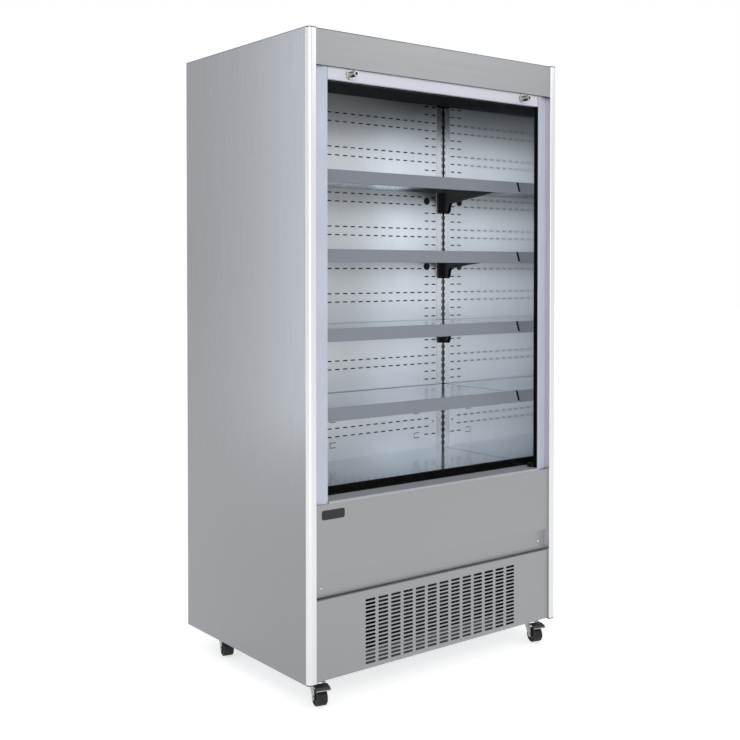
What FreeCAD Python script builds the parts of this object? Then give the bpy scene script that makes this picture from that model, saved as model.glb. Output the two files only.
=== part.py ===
"""Open-front multideck display fridge on castors, modelled in millimetres.

Frame: +Z up, +X to the right seen from the front, the front towards -Y.
The origin lies on the floor, in the middle of the overall width and depth.
Two helper directions are used below: an inset counts from a side's outer face
towards the middle, and a depth counts from the face of the front panels back.
"""
import FreeCAD
import Part
import math
import os

Vec = FreeCAD.Vector

# ---------------------------------------------------------------- driving sizes
# Overall body
body_width = 1050.0
body_depth = 720.0            # face of the front panels to the back
overall_height = 2000.0
castor_height = 76.0
stud_reach = 30.0             # pull studs ahead of the front panels

# Sheet metal and clearances
skin = 1.2                    # outer and inner sheets
panel_gap = 3.0               # between neighbouring front panels
fit_gap = 0.3                 # seat of a piece that isn't pressed on

# Corner posts and jambs
post_width = 30.0
post_nose = 8.0               # post ahead of the front panels
post_inner_radius = 3.0
side_fold = 20.0              # folded rear edge of the side skins
liner_fold = 10.0
post_radius = 14.0
post_back = 60.0              # depth of the post's rear edge
post_cap_height = 3.0
jamb_inset = 78.0             # side's outer face to the opening
jamb_outer_depth = 18.0
jamb_inner_depth = 5.0
jamb_lip = 1.8
guide_width = 8.0
guide_depth = 18.0
guide_wall = 1.5
stop_width = 8.0              # rubber stops at the ends of the sill
stop_height = 14.0
stop_front_depth = 27.0
stop_length = 19.0

# Heights of the front panels
kick_top = 319.0
kick_edge = 3.0               # kick panel above the body's lower edge
strip_bottom = 325.0
fascia_bottom = 392.0
fascia_top = 602.0
header_bottom = 1893.0
panel_fold = 12.0             # folded edges of kick panel and fascia
header_fold = 4.0

# Cold space
back_panel_depth = 496.0
panel_screw_height = 722.0    # screws that hold the back panel
panel_screw_inset = 49.5      # side liner to these screws
rear_wall_depth = 640.0
deck_top = 621.0
deck_fold = 30.0
deck_gap = 2.0                # deck to the side liners
side_gap = 0.3                # other pieces across the opening to the side liners
deck_front_depth = 140.0
ceiling_back = 1914.0
ceiling_front = 1891.0
outlet_front_depth = 110.0
outlet_back_depth = 200.0
outlet_height = 25.0
floor_top = 385.0
floor_bottom = 335.0

# Front sill and return-air grille
sill_top = 609.0
sill_back_depth = 72.0
sill_plate = 1.5
sill_fold = 30.0
grille_plate = 3.0

# Shelves
shelf_count = 4
shelf_pitch = 245.0
lowest_shelf_top = 862.0
shelf_front_depth = 108.0
shelf_back_gap = 10.0         # shelf to the uprights
shelf_side_gap = 3.0
shelf_flange = 28.0
shelf_rear_flange = 12.0
rail_height = 40.0
rail_rise = 7.0               # price rail above the shelf
rail_slant = 13.0
rail_wall = 2.5
rail_end_gap = 2.0            # price rail shorter than its shelf, each end

# Uprights and brackets
upright_inset = 4.4           # side liner to the upright
upright_width = 28.6
upright_proud = 1.0           # upright ahead of the back panel
upright_depth = 12.0
upright_web = 1.2
rack_pitch = 24.5
rack_slot_width = 3.4
rack_slot_height = 14.0
rack_slot_inset = 7.3         # side liner to the slots' centre
upright_top_gap = 4.0         # ceiling to the upright's top
bracket_plate = 2.5
bracket_front_depth = 135.0
bracket_front_height = 14.0
bracket_bend_gap = 135.0      # upright to the bend in the lower edge
bracket_bend_height = 36.5
bracket_tail_gap = 45.0       # upright to where the tail starts
bracket_tail_height = 49.0
bracket_tail_width = 25.0
bracket_rear_height = 87.0
bracket_flange_width = 22.0   # flange that lies on the upright
bracket_hole_radius = 2.2
bracket_hole_drop = 53.0      # shelf top to the flange's hole
hook_height = 10.0
hook_reach = 6.0

# Slots and fittings of the back panel
slot_length = 19.5
slot_height = 4.2
slot_columns = 24
slot_column_inset = 48.0      # side liner to the last column
slot_row_pitch = 29.75
upper_slot_rows = 10
upper_slot_drop = 6.0         # ceiling to the first row of the upper group
lower_slot_rows = 32
lower_slot_rise = 1.0         # top shelf to the first row of the lower group
screwed_rows = 2              # rows beside the screws, without their last slot
grommet_radius = 11.0
grommet_inset = 82.5          # side liner to the grommets
grommet_drop = 43.5           # shelf top to the grommets
grommet_lip = 2.5
tab_width = 26.0              # lanced tabs of the back panel
tab_height = 20.0
tab_slit = 2.4
tab_columns = [-71.5, 315.5]
tab_bottoms = [666.0, 756.0]

# Kick-panel louvres
louvre_columns = 13
louvre_rows = 17
louvre_column_pitch = 50.0
louvre_row_pitch = 12.0
louvre_length = 39.0
louvre_height = 7.2
louvre_shift = 10.0           # field's middle right of the body's middle
louvre_middle_height = 193.0

# Night blind
bar_height = 40.0
bar_thickness = 12.0
bar_bottom = 1857.0
bar_depth = 6.0
bar_end_gap = 2.0
tongue_thickness = 8.0
tongue_reach = 4.5            # bar's tongues into the guides
stud_inset = 159.0
stud_drop = 17.0              # header's lower edge to the studs' axis
stud_base_radius = 13.5
stud_base_length = 6.0
stud_waist_radius = 10.5
stud_neck_radius = 8.5
stud_plug_radius = 5.2
stud_plug_depth = 3.0
roller_radius = 20.0
roller_wall = 1.5
roller_height = 1940.0
roller_pin_radius = 4.0
roller_pin_length = 8.0
roller_end_gap = 12.0         # side liners to the tube's ends
housing_gap = 12.0            # tube to the roof over it
roller_bracket_width = 40.0
curtain_thickness = 0.8
curtain_side_gap = 4.0
bearing_clearance = 0.05      # radial, shaft in its hole
bracket_sheet = 2.5

# Badge and screws
badge_width = 82.0
badge_height = 28.0
badge_thickness = 1.5
badge_inset = 54.0
badge_middle_height = 570.0
badge_radius = 6.0
screw_inset = 62.0
screw_height = 349.0
screw_head_radius = 4.5
screw_head_height = 2.0

# Castors
wheel_radius = 25.0
wheel_width = 34.0
wheel_groove = 1.2
wheel_chamfer = 2.0
wheel_dish = 3.0
axle_radius = 4.0
fork_sheet = 2.5
fork_side_gap = 1.5
fork_half_length = 15.0
castor_trail = 26.0
castor_turn = -14.0           # degrees, as the castors stand
castor_inset = 66.0
castor_front_depth = 46.0
castor_rear_depth = 585.0
castor_plate_size = 60.0
castor_plate = 3.0
race_radius = 17.0
race_height = 6.0
kingpin_radius = 5.0
kingpin_length = 6.5
kingpin_head = 3.0            # riveted head under the fork
kingpin_head_radius = 8.0
pedal_width = 46.0
pedal_length = 38.0
pedal_side_gap = 1.0
pedal_sheet = 2.0
pedal_drop = 9.0
pedal_pin_radius = 2.5

# Machinery
base_sheet = 2.0
base_flange = 40.0
condenser_width = 420.0
condenser_height = 190.0
condenser_depth = 60.0
condenser_gap = 3.2           # tray's front flange to the condenser
condenser_fan_radius = 80.0
fan_tip_gap = 4.0
shroud_depth = 45.0
spider_foot = 6.0
hub_radius = 18.0
shaft_radius = 4.0
motor_radius = 32.0
motor_length = 50.0
blade_count = 5
blade_sheet = 2.0
blade_width = 22.0
compressor_radius = 78.0
compressor_height = 165.0
compressor_middle_depth = 470.0
compressor_x = 260.0
foot_radius = 12.0
foot_height = 12.0
evaporator_width = 780.0
evaporator_depth = 180.0
evaporator_height = 150.0
evaporator_front_depth = 290.0
evaporator_rise = 12.0        # feet under the evaporator
fan_plate_depth = 165.0
evaporator_fan_radius = 80.0
fan_sheet = 1.5
fin_pitch = 18.0
fin_groove = 5.0
fin_depth = 10.0
fin_edge = 12.0
gland_radius = 8.0
gland_bore_radius = 4.5
gland_inner_length = 10.0
gland_reach = 8.0             # gland behind the rear sheet
gland_x = 300.0
gland_height = 150.0

# ---------------------------------------------------------------- worked-out places
half_width = body_width / 2.0
front = -(body_depth + gland_reach - stud_reach) / 2.0     # y of the front panels' face
back = front + body_depth
body_bottom = castor_height
opening_half = half_width - jamb_inset       # liners' inner faces
panel_half = half_width - post_width
upright_face_depth = back_panel_depth - upright_proud
upright_edge = opening_half - upright_inset - upright_width
shelf_half = opening_half - shelf_side_gap
shelf_back_depth = upright_face_depth - shelf_back_gap
rail_half = shelf_half - rail_end_gap
rack_x = opening_half - rack_slot_inset
shelf_tops = [lowest_shelf_top + shelf_pitch * i for i in range(shelf_count)]
post_side_y = front - post_nose + post_radius              # rounding's end at the side
jamb_back_depth = jamb_inner_depth + jamb_lip + guide_depth
roller_y = front + bar_depth + bar_thickness / 2.0 + roller_radius + curtain_thickness
housing_top = roller_height + roller_radius + housing_gap

os.makedirs("parts", exist_ok=True)


# ---------------------------------------------------------------- helpers
def box(x0, x1, y0, y1, z0, z1):
    """A block between two corners."""
    return Part.makeBox(x1 - x0, y1 - y0, z1 - z0, Vec(x0, y0, z0))


def cylinder(radius, length, start, axis):
    return Part.makeCylinder(radius, length, start, axis)


def ring(outer, inner, length, start, axis):
    return cylinder(outer, length, start, axis).cut(cylinder(inner, length, start, axis))


def polygon_wire(points):
    return Part.makePolygon(list(points) + [points[0]])


def prism_x(yz_points, x0, x1):
    """A section drawn in the side view, carried along X."""
    wire = polygon_wire([Vec(x0, y, z) for y, z in yz_points])
    return Part.Face(wire).extrude(Vec(x1 - x0, 0, 0))


def prism_z(xy_points, z0, z1):
    """A section drawn in the plan view, carried along Z."""
    wire = polygon_wire([Vec(x, y, z0) for x, y in xy_points])
    return Part.Face(wire).extrude(Vec(0, 0, z1 - z0))


def mirrored(shape):
    """The same piece on the other side."""
    return shape.mirror(Vec(0, 0, 0), Vec(1, 0, 0))


def fused(shapes):
    return shapes[0].multiFuse(shapes[1:]).removeSplitter()


def group(shapes):
    """Separate solids that share one node."""
    return Part.makeCompound(shapes)


def save(name, shape):
    shape.exportStep("parts/" + name + ".step")


def save_pair(name, left):
    save(name + "_left", left)
    save(name + "_right", mirrored(left))


def rectangle_wire(u0, u1, v0, v1, place):
    corners = [(u0, v0), (u1, v0), (u1, v1), (u0, v1)]
    return polygon_wire([place(u, v) for u, v in corners])


def circle_wire(u, v, radius, place):
    """A round hole, its middle at (u, v), drawn the same way round as the others."""
    upper = Part.Arc(place(u + radius, v), place(u, v + radius), place(u - radius, v))
    lower = Part.Arc(place(u - radius, v), place(u, v - radius), place(u + radius, v))
    return Part.Wire([upper.toShape(), lower.toShape()])


def obround_wire(u, v, length, height, place):
    """A slot with round ends, its middle at (u, v)."""
    r = height / 2.0
    reach = length / 2.0 - r
    right_arc = Part.Arc(place(u + reach, v - r), place(u + reach + r, v), place(u + reach, v + r))
    left_arc = Part.Arc(place(u - reach, v + r), place(u - reach - r, v), place(u - reach, v - r))
    bottom = Part.LineSegment(place(u - reach, v - r), place(u + reach, v - r))
    top = Part.LineSegment(place(u + reach, v + r), place(u - reach, v + r))
    return Part.Wire([edge.toShape() for edge in (bottom, right_arc, top, left_arc)])


def holed_sheet(outer, holes, thickness):
    """A sheet with holes; all wires lie in one plane and run the same way round."""
    for hole in holes:
        hole.reverse()
    return Part.Face([outer] + holes).extrude(thickness)


def upright_plane(depth):
    """Places (u, v) as x and z on the vertical plane at a depth."""
    def place(u, v):
        return Vec(u, front + depth, v)
    return place


# ---------------------------------------------------------------- outer shell
def side_skin_left():
    """Outer side sheet over the post's side, its rear edge folded in."""
    x0 = -half_width
    sheet = box(x0, x0 + skin, post_side_y, back, body_bottom, overall_height)
    rear = box(x0, x0 + side_fold, back - skin, back, body_bottom, overall_height)
    return fused([sheet, rear])


def post_outline():
    """Plan outline of the left corner post, set in behind its rounding for the side sheet."""
    z = body_bottom + post_cap_height
    x0 = -half_width
    x1 = x0 + post_width
    y0 = front - post_nose
    y1 = front + post_back
    r = post_radius
    bend = r * (1.0 - math.sqrt(0.5))
    inner_r = post_inner_radius
    inner_bend = inner_r * (1.0 - math.sqrt(0.5))
    edges = [
        Part.LineSegment(Vec(x0 + skin, y1, z), Vec(x0 + skin, post_side_y, z)),
        Part.LineSegment(Vec(x0 + skin, post_side_y, z), Vec(x0, post_side_y, z)),
        Part.Arc(Vec(x0, post_side_y, z), Vec(x0 + bend, y0 + bend, z), Vec(x0 + r, y0, z)),
        Part.LineSegment(Vec(x0 + r, y0, z), Vec(x1 - inner_r, y0, z)),
        Part.Arc(Vec(x1 - inner_r, y0, z), Vec(x1 - inner_bend, y0 + inner_bend, z),
                 Vec(x1, y0 + inner_r, z)),
        Part.LineSegment(Vec(x1, y0 + inner_r, z), Vec(x1, y1, z)),
        Part.LineSegment(Vec(x1, y1, z), Vec(x0 + skin, y1, z)),
    ]
    return Part.Face(Part.Wire([edge.toShape() for edge in edges]))


def corner_post_left():
    """Extruded corner post between its two caps."""
    height = overall_height - body_bottom - 2 * post_cap_height
    return post_outline().extrude(Vec(0, 0, height))


def post_caps():
    """Moulded caps that close both ends of both posts."""
    cap = post_outline().extrude(Vec(0, 0, post_cap_height))
    lower = cap.translated(Vec(0, 0, -post_cap_height))
    upper = cap.translated(Vec(0, 0, overall_height - body_bottom - 2 * post_cap_height))
    return group([lower, upper, mirrored(lower), mirrored(upper)])


def roof_skin():
    """Roof sheet between the side skins."""
    reach = half_width - skin
    sheet = box(-reach, reach, front + post_back, back - skin,
                overall_height - skin, overall_height)
    centre = box(-panel_half, panel_half, front + header_fold, front + post_back,
                 overall_height - skin, overall_height)
    return fused([sheet, centre])


def rear_skin():
    """Rear sheet with the hole for the cable gland."""
    reach = half_width - side_fold
    sheet = box(-reach, reach, back - skin, back, body_bottom, overall_height)
    hole = cylinder(gland_radius + bearing_clearance, skin,
                    Vec(gland_x, back - skin, gland_height), Vec(0, 1, 0))
    return sheet.cut(hole)


def cabinet_foam():
    """Foam of the insulated body: sides, rear wall, roof, floor and front apron."""
    outer = half_width - skin
    inner = opening_half + skin
    top = overall_height - skin
    side = box(-outer, -inner, front + post_back, back - skin, floor_bottom, top)
    strip = box(-panel_half, -inner, front + jamb_back_depth + skin,
                front + post_back, floor_bottom, top)
    side = fused([side, strip])
    rear = box(-inner, inner, front + rear_wall_depth, back - skin, floor_bottom, top)
    roof = box(-inner, inner, front + header_fold, front + rear_wall_depth, housing_top, top)
    floor = box(-inner, inner, front + post_back, front + rear_wall_depth,
                floor_bottom, floor_top)
    apron = box(-opening_half, opening_half, front + jamb_outer_depth + skin,
                front + post_back, floor_bottom, sill_top - sill_fold)
    return group([side, mirrored(side), rear, roof, floor, apron])


def base_frame():
    """Folded steel tray that carries the machinery and the castors."""
    reach = half_width - skin
    y0 = front + post_back
    y1 = back - skin
    z0 = body_bottom
    outer = box(-reach, reach, y0, y1, z0, z0 + base_flange)
    hollow = box(-reach + base_sheet, reach - base_sheet, y0 + base_sheet, y1 - base_sheet,
                 z0 + base_sheet, z0 + base_flange)
    front_plate = box(-panel_half, panel_half, front + panel_fold, y0, z0, z0 + base_sheet)
    return fused([outer.cut(hollow), front_plate])


# ---------------------------------------------------------------- cold space
def side_liner_left():
    """Polished inner side sheet with a short front fold behind the jamb."""
    x0 = -opening_half - skin
    y0 = front + jamb_back_depth
    sheet = box(x0, x0 + skin, y0, front + rear_wall_depth, floor_top, housing_top)
    fold = box(x0 - liner_fold, x0, y0, y0 + skin, floor_top, housing_top)
    return fused([sheet, fold])


def slot_positions():
    """Middle of every air slot: two rows in four run across, all rows edge the uprights."""
    last = opening_half - slot_column_inset
    pitch = 2.0 * last / (slot_columns - 1)
    upper_z = ceiling_back - upper_slot_drop
    lower_z = shelf_tops[-1] + lower_slot_rise
    rows = [(upper_z - slot_row_pitch * i, i % 4 in (2, 3), 0) for i in range(upper_slot_rows)]
    for i in range(lower_slot_rows):
        screwed = lower_slot_rows - 1 - screwed_rows <= i < lower_slot_rows - 1
        rows.append((lower_z - slot_row_pitch * i, i % 4 in (1, 2), int(screwed)))
    for z, full, first in rows:
        for column in range(slot_columns):
            edge = min(column, slot_columns - 1 - column)
            if edge >= first and (full or edge < 2):
                yield -last + pitch * column, z


def grommet_positions():
    x = opening_half - grommet_inset
    return [(sx * x, top - grommet_drop) for top in shelf_tops for sx in (-1, 1)]


def panel_screw_places():
    x = opening_half - panel_screw_inset
    return [(sx * x, panel_screw_height) for sx in (-1, 1)]


def tab_wire(x, z, place):
    """The C-shaped slit round a lanced tab, its open side towards +X."""
    u0 = x - tab_width / 2.0
    u1 = x + tab_width / 2.0
    v1 = z + tab_height
    t = tab_slit
    outline = [(u0, z), (u1, z), (u1, z + t), (u0 + t, z + t), (u0 + t, v1 - t), (u1, v1 - t),
               (u1, v1), (u0, v1)]
    return polygon_wire([place(u, v) for u, v in outline])


def back_panel():
    """Perforated stainless panel between the uprights, in front of the rear air duct."""
    place = upright_plane(back_panel_depth)
    outer = rectangle_wire(-upright_edge, upright_edge, deck_top - deck_fold, ceiling_back, place)
    clear = grommet_radius + grommet_lip + slot_length / 2.0
    grommets = grommet_positions()
    holes = []
    for x, z in slot_positions():
        near = [g for g in grommets if abs(g[0] - x) < clear and abs(g[1] - z) < clear]
        if near:
            continue
        holes.append(rectangle_wire(x - slot_length / 2.0, x + slot_length / 2.0,
                                    z - slot_height / 2.0, z + slot_height / 2.0, place))
    for x, z in grommets:
        holes.append(circle_wire(x, z, grommet_radius + bearing_clearance, place))
    for x, z in panel_screw_places():
        holes.append(circle_wire(x, z, screw_head_radius * 0.5, place))
    holes += [tab_wire(x, z, place) for x in tab_columns for z in tab_bottoms]
    return holed_sheet(outer, holes, Vec(0, skin, 0))


def back_grommets():
    """Rubber plugs in the spare bracket holes of the back panel."""
    pieces = []
    for x, z in grommet_positions():
        y = front + back_panel_depth
        body = cylinder(grommet_radius, skin + 2.0, Vec(x, y, z), Vec(0, 1, 0))
        lip = cylinder(grommet_radius + grommet_lip, 1.5, Vec(x, y - 1.5, z), Vec(0, 1, 0))
        pieces.append(fused([body, lip]))
    return group(pieces)


def rack_slot_heights():
    """Middles of the bracket slots, in step with every shelf's hooks."""
    first = lowest_shelf_top - skin - bracket_rear_height + hook_height
    above = int((ceiling_back - upright_top_gap - rack_slot_height - first) / rack_pitch)
    below = int((first - deck_top - rack_slot_height) / rack_pitch)
    return [first + rack_pitch * i for i in range(-below, above + 1)]


def shelf_upright_left():
    """Slotted rack upright in the left rear corner."""
    x0 = -opening_half + upright_inset
    x1 = x0 + upright_width
    z0 = deck_top
    z1 = ceiling_back - upright_top_gap
    place = upright_plane(upright_face_depth)
    outer = rectangle_wire(x0, x1, z0, z1, place)
    holes = []
    for z in rack_slot_heights():
        holes.append(rectangle_wire(-rack_x - rack_slot_width / 2.0,
                                    -rack_x + rack_slot_width / 2.0,
                                    z - rack_slot_height / 2.0,
                                    z + rack_slot_height / 2.0, place))
    web = holed_sheet(outer, holes, Vec(0, upright_web, 0))
    y0 = front + upright_face_depth
    flanges = [box(x, x + upright_web, y0, y0 + upright_depth, z0, z1)
               for x in (x0, x1 - upright_web)]
    return fused([web] + flanges)


def shelf(top):
    """Folded stainless shelf, open underneath."""
    y0 = front + shelf_front_depth
    y1 = front + shelf_back_depth
    plate = box(-shelf_half, shelf_half, y0, y1, top - skin, top)
    lip = box(-shelf_half, shelf_half, y0, y0 + skin, top + rail_rise - rail_height,
              top + rail_rise)
    rear = box(-shelf_half, shelf_half, y1 - skin, y1, top - shelf_rear_flange, top)
    ends = [box(x, x + skin, y0, y1, top - shelf_flange, top)
            for x in (-shelf_half, shelf_half - skin)]
    return fused([plate, lip, rear] + ends)


def price_rail(top):
    """Slanted ticket rail on the shelf's front edge."""
    y1 = front + shelf_front_depth
    y0 = y1 - rail_wall
    yf = y0 - rail_slant
    z1 = top + rail_rise
    z0 = z1 - rail_height
    section = [(y1, z1), (y0, z1), (yf, z0 + 2.0), (yf, z0), (y1, z0), (y1, z0 + rail_wall),
               (yf + rail_wall + 1.0, z0 + rail_wall), (y0 + rail_wall - 0.5, z1 - rail_wall - 1.0),
               (y1, z1 - rail_wall - 1.0)]
    return prism_x(section, -rail_half, rail_half)


def shelf_bracket_left(top):
    """Cantilever plate under the shelf's end, its flange and three hooks on the upright."""
    z = top - skin
    y_front = front + bracket_front_depth
    y_rear = front + upright_face_depth - fit_gap
    y_notch = front + shelf_back_depth - skin - 1.0
    notch = shelf_rear_flange + 1.0
    y_bend = y_rear - bracket_bend_gap
    y_arm = y_rear - bracket_tail_gap
    y_tail = y_rear - bracket_tail_width
    low = z - bracket_rear_height
    arm = z - bracket_tail_height
    y_middle = (y_arm + y_tail) / 2.0
    middle = (arm + low) / 2.0
    bow = (y_tail - y_arm) / 8.0
    x = -rack_x - bracket_plate / 2.0

    def at(y, zz):
        return Vec(x, y, zz)

    edges = [
        Part.LineSegment(at(y_front, z), at(y_front, z - bracket_front_height)),
        Part.LineSegment(at(y_front, z - bracket_front_height),
                         at(y_bend, z - bracket_bend_height)),
        Part.LineSegment(at(y_bend, z - bracket_bend_height), at(y_arm, arm)),
        Part.Arc(at(y_arm, arm), at(y_middle - 2.0 * bow, (3.0 * arm + middle) / 4.0),
                 at(y_middle, middle)),
        Part.Arc(at(y_middle, middle), at(y_middle + bow, (middle + low) / 2.0),
                 at(y_tail, low)),
        Part.LineSegment(at(y_tail, low), at(y_rear, low)),
        Part.LineSegment(at(y_rear, low), at(y_rear, z - notch)),
        Part.LineSegment(at(y_rear, z - notch), at(y_notch, z - notch)),
        Part.LineSegment(at(y_notch, z - notch), at(y_notch, z)),
        Part.LineSegment(at(y_notch, z), at(y_front, z)),
    ]
    plate = Part.Face(Part.Wire([e.toShape() for e in edges])).extrude(Vec(bracket_plate, 0, 0))
    flange_end = x + bracket_flange_width
    flange = box(x, flange_end, y_rear - bracket_plate, y_rear, low, z - notch)
    corner = [e for e in flange.Edges if abs(e.Vertexes[0].Y - e.Vertexes[1].Y) > 1.0
              and e.Vertexes[0].X > flange_end - 1.0 and e.Vertexes[0].Z < low + 1.0]
    flange = flange.makeFillet(5.0, corner)
    hole = cylinder(bracket_hole_radius, bracket_plate,
                    Vec((x + bracket_plate + flange_end) / 2.0, y_rear - bracket_plate,
                        top - bracket_hole_drop), Vec(0, 1, 0))
    hooks = []
    for step in range(3):
        height = low + hook_height + rack_pitch * step
        hooks.append(box(x, x + bracket_plate, y_rear - 2.0, y_rear + fit_gap + hook_reach,
                         height - hook_height / 2.0, height + hook_height / 2.0))
    return fused([plate, flange.cut(hole)] + hooks)


def shelf_brackets():
    lefts = [shelf_bracket_left(top) for top in shelf_tops]
    return group(lefts + [mirrored(piece) for piece in lefts])


def deck():
    """Lowest display surface: a lift-out stainless tray."""
    y0 = front + deck_front_depth
    y1 = front + back_panel_depth
    half = opening_half - deck_gap
    plate = box(-half, half, y0, y1, deck_top - skin, deck_top)
    lip = box(-half, half, y0, y0 + skin, deck_top - deck_fold, deck_top)
    ends = [box(x, x + skin, y0, y1, deck_top - deck_fold, deck_top)
            for x in (-half, half - skin)]
    return fused([plate, lip] + ends)


def hexagon_wires(u0, u1, v0, v1, cell, wall, place):
    """Honeycomb holes that fit whole inside a rectangle."""
    step_u = cell + wall
    step_v = step_u * math.sqrt(0.75)
    columns = int((u1 - u0 - cell) / step_u)
    rows = int((v1 - v0 - cell) / step_v) + 1
    start_u = (u0 + u1) / 2.0 - step_u * (columns - 0.5) / 2.0
    start_v = (v0 + v1) / 2.0 - step_v * (rows - 1) / 2.0
    radius = cell / math.sqrt(3.0)
    wires = []
    for row in range(rows):
        for column in range(columns):
            u = start_u + step_u * (column + 0.5 * (row % 2))
            v = start_v + step_v * row
            corners = []
            for k in range(6):
                turn = math.radians(60.0 * k + 30.0)
                corners.append(place(u + radius * math.cos(turn), v + radius * math.sin(turn)))
            wires.append(polygon_wire(corners))
    return wires


def return_grille():
    """Honeycomb grille over the air return, rising from the sill to the deck."""
    y0 = front + sill_back_depth + fit_gap
    y1 = front + deck_front_depth - fit_gap
    z0 = sill_top - grille_plate
    half = opening_half - side_gap
    rise = deck_top - sill_top
    slope = math.atan2(rise, y1 - y0)
    length = (y1 - y0) / math.cos(slope) - grille_plate * math.tan(slope)

    def place(u, v):
        return Vec(u, y0 + v * math.cos(slope) + grille_plate * math.sin(slope),
                   z0 + v * math.sin(slope))

    outer = rectangle_wire(-half, half, 0.0, length, place)
    holes = hexagon_wires(-half + 6.0, half - 6.0, 4.0, length - 4.0, 10.0, 2.2, place)
    lift = Vec(0, -math.sin(slope), math.cos(slope)).multiply(grille_plate)
    return holed_sheet(outer, holes, lift)


def outlet_honeycomb():
    """Honeycomb that straightens the air curtain under the roof."""
    half = opening_half - side_gap

    def place(u, v):
        return Vec(u, front + v, ceiling_front)

    outer = rectangle_wire(-half, half, outlet_front_depth, outlet_back_depth - fit_gap, place)
    holes = hexagon_wires(-half + 6.0, half - 6.0, outlet_front_depth + 4.0,
                          outlet_back_depth - 4.0, 12.0, 2.2, place)
    return holed_sheet(outer, holes, Vec(0, 0, outlet_height))


def ceiling_panel():
    """Dark ceiling sheet of the air duct, from the blind's housing to the back panel."""
    y0 = front + outlet_front_depth
    y1 = front + outlet_back_depth
    y2 = front + back_panel_depth
    half = opening_half - side_gap
    sheet = 2.0
    slope = prism_x([(y1, ceiling_front), (y2, ceiling_back), (y2, ceiling_back + sheet),
                     (y1, ceiling_front + sheet)], -half, half)
    riser = box(-half, half, y0 - sheet, y0, ceiling_front, housing_top)
    top = box(-half, half, y0 - sheet, y1 + sheet, housing_top - sheet, housing_top)
    rear_riser = box(-half, half, y1, y1 + sheet, ceiling_front, housing_top)
    return fused([slope, riser, top, rear_riser])


# ---------------------------------------------------------------- front
def folded_panel(z0, z1, fold, holes, depth=0.0):
    """A front panel between the posts, its upper and lower edges folded back."""
    half = panel_half - fit_gap
    y0 = front + depth
    place = upright_plane(depth)
    sheet = holed_sheet(rectangle_wire(-half, half, z0, z1, place), holes, Vec(0, skin, 0))
    lower = box(-half, half, y0, y0 + fold, z0, z0 + skin)
    upper = box(-half, half, y0, y0 + fold, z1 - skin, z1)
    return fused([sheet, lower, upper])


def kick_panel():
    """Lower grille panel in front of the machinery."""
    place = upright_plane(0.0)
    holes = []
    for row in range(louvre_rows):
        z = louvre_middle_height + louvre_row_pitch * (row - (louvre_rows - 1) / 2.0)
        for column in range(louvre_columns):
            x = louvre_shift + louvre_column_pitch * (column - (louvre_columns - 1) / 2.0)
            holes.append(obround_wire(x, z, louvre_length, louvre_height, place))
    return folded_panel(body_bottom + kick_edge, kick_top, panel_fold, holes)


def access_strip():
    """Recessed strip between kick panel and fascia, held by two screws."""
    half = panel_half - fit_gap
    y0 = front + jamb_outer_depth
    sheet = box(-half, half, y0, y0 + skin, kick_top - 24.0, fascia_bottom + 24.0)
    holes = [cylinder(screw_head_radius * 0.5, skin, Vec(sx * (half_width - screw_inset), y0,
                                                         screw_height), Vec(0, 1, 0))
             for sx in (-1, 1)]
    return sheet.cut(group(holes))


def panel_screws():
    """Cross-head screws of the access strip and of the back panel."""
    places = [(sx * (half_width - screw_inset), front + jamb_outer_depth, screw_height)
              for sx in (-1, 1)]
    places += [(x, front + back_panel_depth, z) for x, z in panel_screw_places()]
    pieces = []
    for x, y0, z in places:
        tip = y0 - screw_head_height
        head = cylinder(screw_head_radius, screw_head_height, Vec(x, tip, z), Vec(0, 1, 0))
        head = head.makeChamfer(0.8, [head.Edges[2]])
        shank = cylinder(screw_head_radius * 0.5 - bearing_clearance, skin, Vec(x, y0, z),
                         Vec(0, 1, 0))
        cross = [box(x - 2.5, x + 2.5, tip, tip + 1.0, z - 0.5, z + 0.5),
                 box(x - 0.5, x + 0.5, tip, tip + 1.0, z - 2.5, z + 2.5)]
        pieces.append(fused([head, shank]).cut(group(cross)))
    return group(pieces)


def fascia_badge():
    """Blank rounded badge on the lower fascia."""
    x0 = -half_width + badge_inset
    z0 = badge_middle_height - badge_height / 2.0
    plate = box(x0, x0 + badge_width, front - badge_thickness, front, z0, z0 + badge_height)
    corners = [e for e in plate.Edges if abs(e.Vertexes[0].Y - e.Vertexes[1].Y) > 1.0]
    return plate.makeFillet(badge_radius, corners)


def front_sill():
    """Light-grey sill over the fascia, folded down towards the air return."""
    y0 = front
    y1 = front + sill_back_depth
    z1 = sill_top
    z0 = fascia_top
    t = sill_plate
    half = opening_half - side_gap
    section = [(y0, z0), (y0, z1), (y1, z1), (y1, z1 - sill_fold), (y1 - t, z1 - sill_fold),
               (y1 - t, z1 - t), (y0 + t, z1 - t), (y0 + t, z0)]
    return prism_x(section, -half, half)


def jamb_left():
    """Light plastic jamb, splayed towards the opening and notched for the blind guide."""
    x0 = -half_width + post_width
    x1 = -half_width + jamb_inset
    xn = x1 - guide_width
    y_outer = front + jamb_outer_depth
    y_inner = front + jamb_inner_depth
    y_notch = y_inner + jamb_lip
    y_back = front + jamb_back_depth
    section = [(x0, y_outer), (xn, y_inner), (x1, y_inner), (x1, y_notch),
               (xn, y_notch), (xn, y_back), (x0, y_back)]
    return prism_z(section, fascia_top, header_bottom)


def blind_guide_left():
    """U-shaped guide that the blind's edge runs in, open towards the middle."""
    x1 = -half_width + jamb_inset
    x0 = x1 - guide_width
    y0 = front + jamb_inner_depth + jamb_lip
    y1 = y0 + guide_depth
    t = guide_wall
    section = [(x1, y0), (x0, y0), (x0, y1), (x1, y1), (x1, y1 - t), (x0 + t, y1 - t),
               (x0 + t, y0 + t), (x1, y0 + t)]
    return prism_z(section, fascia_top, header_bottom)


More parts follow.
